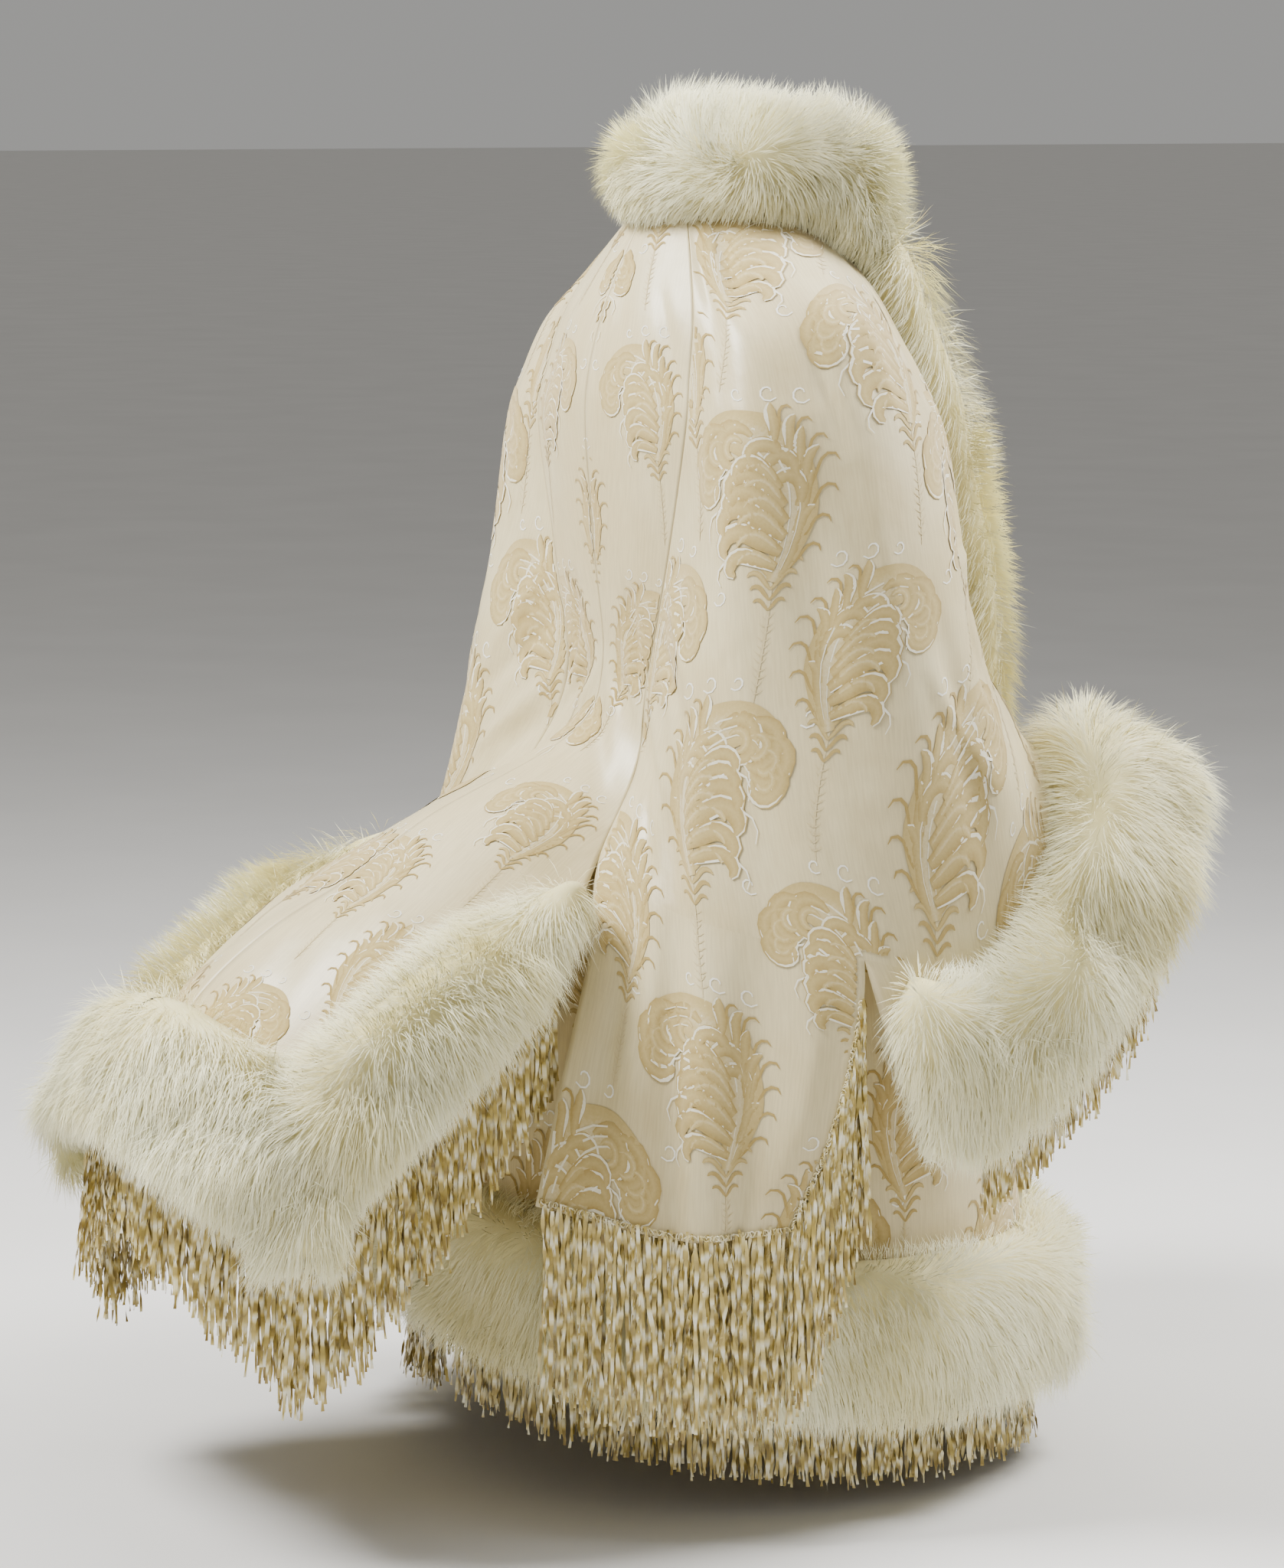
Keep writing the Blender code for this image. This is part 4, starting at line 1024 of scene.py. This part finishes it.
turn = np.radians(np.linspace(-171, 171, 72))
neck = np.interp(np.abs(np.degrees(turn)), *zip(*neckline))
droop = np.interp(np.abs(np.degrees(turn)), *zip(*collarDroop))
rings = surface(np.stack([np.array(collarRings)] * 2))(np.zeros(14), np.linspace(0, 3, 14))
middle, reach = (rings[:, 1] + rings[:, 3]) / 2, (rings[:, 1] - rings[:, 3]) / 2
collarGrid = np.stack(
    [
        -rings[None, :, 2] * np.sin(turn)[:, None],
        middle[None, :] + reach[None, :] * np.cos(turn)[:, None],
        rings[None, :, 0] + neck[:, None] - droop[:, None] * np.linspace(0, 1, 14)[None, :],
    ],
    -1,
) * cm
makeFurBand("furCollar", collarGrid, 0.046, (0, -0.03, 0.05), 34000, False, "collar_fur",
            fall=0.1, seed=5, leanRow=collarLean, ends=(0, 0))
print("fur made")

# Silk fringe: narrow ribbons, each twisted on itself, in several layers
fringe = {"wide": 0.0036, "step": 0.0052, "pitch": (0.015, 0.034), "perCm": 2.9}
fringe |= {"layers": 3, "layerGap": 0.0022}
# Loose set of a ribbon's head, its wave, its lean off the cloth, and the share and length of short ones
fringe |= {"loose": 0.001, "curl": (0.0003, 0.0014), "flare": 0.03, "fewShort": 0.06, "short": 0.8}


def walked(points):
    points = np.asarray(points)
    way = np.concatenate([[0], np.cumsum(np.linalg.norm(np.diff(points, axis=0), axis=1))])
    return points, way


def makeFringe(name, line, out, length, left, node, seed, sway=0.05, heading=0.004):
    # line: points along the cloth's edge; out: the way off the cloth there; length: share along it, metres
    rng = np.random.default_rng(300 + seed)
    points, way = walked(line)
    each = int(way[-1] * 100 * fringe["perCm"])
    parts, tones, faces, first = [], [], [], 0
    for layer in range(fringe["layers"]):
        for k in range(each):
            at = (k + 0.5 + rng.uniform(-0.4, 0.4)) / each * way[-1]
            root = np.array([np.interp(at, way, points[:, a]) for a in range(3)])
            away = unit(np.array([np.interp(at, way, out[:, a]) for a in range(3)]))
            slip = rng.uniform(-fringe["loose"], fringe["loose"])
            root = root + away * (fringe["layerGap"] * layer - fringe["loose"] + slip)
            root[2] += heading * rng.uniform(-0.4, 1.0)
            long = np.interp(at / way[-1], *zip(*length)) * rng.uniform(0.86, 1.04)
            long = long * (1 if rng.random() > fringe["fewShort"] else fringe["short"])
            n = max(int(long / fringe["step"]), 4)
            z = np.linspace(0, long, n + 1)
            lean = rng.normal(0, sway, 2)
            curl = rng.uniform(*fringe["curl"])
            phase = rng.uniform(0, 6.28, 2)
            centre = root + np.stack(
                [
                    lean[0] * z + curl * np.sin(z * 95 + phase[0]) + away[0] * fringe["flare"] * z,
                    lean[1] * z + curl * np.cos(z * 80 + phase[1]) + away[1] * fringe["flare"] * z,
                    -z,
                ],
                1,
            )
            pitch = rng.uniform(*fringe["pitch"])
            spin = rng.normal(0, 0.4) + 0.75 * np.sin(6.28 * z / pitch + phase[0])
            along = unit(np.cross(away, (0, 0, 1)))
            half = fringe["wide"] / 2 * rng.uniform(0.75, 1.15)
            wide = half * np.interp(z / long, (0, 0.04, 0.86, 0.93, 1), (0.6, 1, 0.95, 0.5, 0.75))
            aside = (np.cos(spin)[:, None] * along + np.sin(spin)[:, None] * away) * wide[:, None]
            parts.append(np.stack([centre - aside, centre + aside], 1).reshape(-1, 3))
            # Painted glints: the tone turns bright once in each pitch along the ribbon, a painted highlight on the tan
            # silk
            bright = 0.26 + 0.84 * np.clip(1.7 * np.cos(6.28 * z / pitch + phase[1]) - 0.35, 0, 1)
            bright = bright * rng.uniform(0.75, 1.1) + rng.normal(0, 0.09, n + 1)
            # Painted shade: the inner layers, nearer the cloth, are darker by a step each
            tones.append(np.repeat(np.clip(bright - 0.1 * (fringe["layers"] - 1 - layer), 0, 1), 2))
            faces.append(gridFaces(n + 1, 2, first))
            first += 2 * (n + 1)
    obj = makeMesh(name, np.concatenate(parts), np.concatenate(faces), silk, left)
    addTone(obj, np.concatenate(tones))
    onCloth[node] = [obj]
    return onRoot(obj, "silk", node)


for left, side, low in halves:
    s = np.linspace(1.06, 5.94, 60)
    edge, out = skirtPlain(s, 3.99 + 0 * s), normalAt(skirtPlain, s, 3.97 + 0 * s)
    length = ((0, 0.074), (1, 0.074))
    node = "hem_fringe_" + low
    makeFringe("fringeHem" + side, edge - out * 0.0016, out, length, left, node, seed=1, sway=0.07)
    s = np.concatenate([np.linspace(1.04, 3, 30), np.full(24, 3.0)])
    t = np.concatenate([np.full(30, 12.0), np.linspace(11.9, 9.0, 24)])
    edge, out = backPlain(s, t), normalAt(backPlain, np.minimum(s, 2.97), np.minimum(t, 11.97))
    outFlat = unit(out * (1, 1, 0.0) + 1e-6)
    length = ((0, 0.1), (0.3, 0.115), (0.5, 0.14), (0.7, 0.125), (1, 0.1))
    makeFringe("fringeTail" + side, edge - out * 0.002, outFlat, length, left, "tail_fringe_" + low, seed=2)
    s = np.concatenate([np.full(24, 2.0), np.linspace(1.96, 0.05, 40)])
    t = np.concatenate([np.linspace(8.5, 11, 24), np.full(40, 11.0)])
    edge, out = pendantPlain(s, t), normalAt(pendantPlain, np.minimum(s, 1.97), np.minimum(t, 10.97))
    length = ((0, 0.155), (1, 0.155))
    node = "pendant_fringe_" + low
    makeFringe("fringePendant" + side, edge - out * 0.0008, out, length, left, node, seed=3, sway=0.03,
               heading=0.008)
    s = np.linspace(1.7, 3.7, 36)
    edge, out = cuffPlain(s, 9 + 0 * s), normalAt(cuffPlain, s, 8.97 + 0 * s)
    length = ((0, 0.08), (1, 0.08))
    makeFringe("fringeCuff" + side, edge - out * 0.0016, out, length, left, "cuff_fringe_" + low, seed=4)
print("fringe made")

# Heading of the pendant's fringe: small silk loops sewn side by side along the edge
heading = {"Spacing": 0.0021, "Loop": 0.0021, "Cord": 0.00055, "Seed": 4}


def headingNodes():
    tree = bpy.data.node_groups.new("fringeHeading", "GeometryNodeTree")
    tree.interface.new_socket("Edge", in_out="INPUT", socket_type="NodeSocketGeometry")
    kinds = {"Spacing": "Float", "Loop": "Float", "Cord": "Float", "Seed": "Int", "Silk": "Material"}
    for name, kind in kinds.items():
        tree.interface.new_socket(name, in_out="INPUT", socket_type="NodeSocket" + kind)
    tree.interface.new_socket("Loops", in_out="OUTPUT", socket_type="NodeSocketGeometry")
    given = addNode(tree, "NodeGroupInput").outputs
    edge = addNode(tree, "GeometryNodeMeshToCurve", None, {"Mesh": given["Edge"]}).outputs["Curve"]
    spaced = {"Curve": edge, "Length": given["Spacing"]}
    points = addNode(tree, "GeometryNodeCurveToPoints", {"mode": "LENGTH"}, spaced)
    ring = addNode(tree, "GeometryNodeCurvePrimitiveCircle", {"Resolution": 7}, {"Radius": given["Loop"]})
    cord = addNode(tree, "GeometryNodeCurvePrimitiveCircle", {"Resolution": 3}, {"Radius": given["Cord"]})
    curves = {"Curve": ring.outputs["Curve"], "Profile Curve": cord.outputs["Curve"]}
    loop = addNode(tree, "GeometryNodeCurveToMesh", None, curves)
    turn = addNode(
        tree,
        "FunctionNodeRandomValue",
        {"data_type": "FLOAT_VECTOR", "Min": (0.6, -0.9, 0.0), "Max": (2.4, 0.9, 6.28)},
        {"Seed": given["Seed"]},
    )
    placed = addNode(
        tree,
        "GeometryNodeInstanceOnPoints",
        None,
        {"Points": points.outputs["Points"], "Instance": loop.outputs["Mesh"], "Rotation": turn.outputs[0]},
    )
    bright = addNode(tree, "FunctionNodeRandomValue", {2: 0.35, 3: 0.95}, {"Seed": given["Seed"]})
    toned = addNode(
        tree,
        "GeometryNodeStoreNamedAttribute",
        {"domain": "INSTANCE", "Name": "tone"},
        {"Geometry": placed.outputs["Instances"], "Value": bright.outputs[1]},
    )
    real = addNode(tree, "GeometryNodeRealizeInstances", None, {"Geometry": toned.outputs["Geometry"]})
    whole = {"Geometry": real.outputs["Geometry"], "Material": given["Silk"]}
    dressed = addNode(tree, "GeometryNodeSetMaterial", None, whole)
    addNode(tree, "NodeGroupOutput", None, {"Loops": dressed.outputs["Geometry"]})
    return tree


def makeHeading(name, line, left, tree):
    points = np.array(line) * ((-1, 1, 1) if left else (1, 1, 1))
    mesh = bpy.data.meshes.new(name + "Edge")
    mesh.from_pydata(points.tolist(), [(k, k + 1) for k in range(len(points) - 1)], [])
    edge = bpy.data.objects.new(name + "Edge", mesh)
    bpy.context.scene.collection.objects.link(edge)
    loops = edge.modifiers.new("loops", "NODES")
    loops.node_group = tree
    for item in tree.interface.items_tree:
        if item.in_out == "INPUT" and item.name != "Edge":
            loops[item.identifier] = silk if item.name == "Silk" else heading[item.name]
    made = bpy.data.meshes.new_from_object(edge.evaluated_get(bpy.context.evaluated_depsgraph_get()))
    bpy.data.objects.remove(edge)
    obj = bpy.data.objects.new(name, made)
    bpy.context.scene.collection.objects.link(obj)
    return onRoot(obj, "silk")


loopTree = headingNodes()
for left, side, low in halves:
    s = np.concatenate([np.full(24, 1.985), np.linspace(1.985, 0.03, 50)])
    t = np.concatenate([np.linspace(8.5, 10.96, 24), np.full(50, 10.96)])
    edge = lifted(pendantPlain, s, t, 0.0016)
    onCloth["heading" + side] = [makeHeading("fringeHeading" + side, edge, left, loopTree)]
print("heading sewn")

# Cuts before sewing, in metres: width and length over all, area without what is cut away, trims and figure
cuts = {
    "back": ((0.232, 0.958), 0.136, "draped", ("tail_fur_", "tail_fringe_"), ("Back",)),
    "sleeve": (
        (0.669, 0.907), 0.319, "hung",
        ("cuff_fur_", "cuff_fringe_", "pendant_fringe_", "heading"), ("Sleeve",),
    ),
    "front": ((0.806, 0.935), 0.475, "hung", ("front_fur_", "hem_fur_", "hem_fringe_"), ("Yoke", "Skirt")),
}
for left, side, low in halves:
    for part, (flat, area, held, trims, figures) in cuts.items():
        sewn = ["velvet" + figure + side for figure in figures]
        sewn += [trim + (low if trim.endswith("_") else side) for trim in trims]
        pieces = [piece for key in sewn for piece in onCloth[key]]
        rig.sheet(panels[part + side], flat=flat, held=held, area=area, with_pieces=pieces)
print("cuts declared")

# Camera at the photo's angle: the scale there is 16 pixels to a centimetre at the garment's middle
view = {"azimuth": 240, "elevation": 8, "far": 4.0, "lens": 112.5, "aimRight": -0.070, "aimUp": -0.453}
turnA, turnE = math.radians(view["azimuth"]), math.radians(view["elevation"])
backWay = np.array((math.sin(turnA) * math.cos(turnE), -math.cos(turnA) * math.cos(turnE), math.sin(turnE)))
rightWay = unit(np.cross((0, 0, 1), backWay))
upWay = np.cross(backWay, rightWay)
aim = rightWay * view["aimRight"] + upWay * view["aimUp"]
camera = bpy.data.objects.new("camera", bpy.data.cameras.new("camera"))
camera.data.lens = view["lens"]
camera.data.sensor_width = 36
camera.location = aim + backWay * view["far"]
camera.rotation_euler = (math.radians(90 - view["elevation"]), 0, math.radians(view["azimuth"]))
bpy.context.scene.collection.objects.link(camera)
bpy.context.scene.camera = camera

# Floor and soft studio light
stage = {"half": 90.0, "gap": 0.006, "lampAim": (0, 0.1, -0.35), "world": 0.4, "tone": "#f1f0ed"}
corners = ((-1, -1), (1, -1), (1, 1), (-1, 1))
corners = [(x * stage["half"], y * stage["half"], cadBox[0][2] - stage["gap"]) for x, y in corners]
floor = makeMesh("floor", corners, [(0, 1, 2, 3)], makeFloor())
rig.stage(floor)

lamps = {
    # angle from the camera's left or right, height, distance, size, power
    "key": (-78, 50, 2.3, 0.9, 132),
    "fill": (52, 26, 3.6, 2.4, 8),
    "rim": (108, 42, 2.4, 1.0, 125),
    "top": (0, 86, 2.1, 1.6, 22),
}
for name, (angle, height, far, wide, power) in lamps.items():
    lamp = bpy.data.lights.new(name, "AREA")
    lamp.size = wide
    lamp.energy = power
    a, e = math.radians(view["azimuth"] + angle), math.radians(height)
    place = np.array((math.sin(a) * math.cos(e), -math.cos(a) * math.cos(e), math.sin(e))) * far
    obj = bpy.data.objects.new(name, lamp)
    obj.location = place + stage["lampAim"]
    obj.rotation_euler = (math.radians(90 - height), 0, a)
    bpy.context.scene.collection.objects.link(obj)
world = bpy.data.worlds.new("studio")
world.use_nodes = True
world.node_tree.nodes["Background"].inputs["Color"].default_value = colour(stage["tone"])
world.node_tree.nodes["Background"].inputs["Strength"].default_value = stage["world"]
bpy.context.scene.world = world

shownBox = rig.bounds()
with open("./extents.json", "w") as out:
    json.dump({"cad": [list(p) for p in cadBox], "shown": [list(p) for p in shownBox]}, out)
print("scene ready")
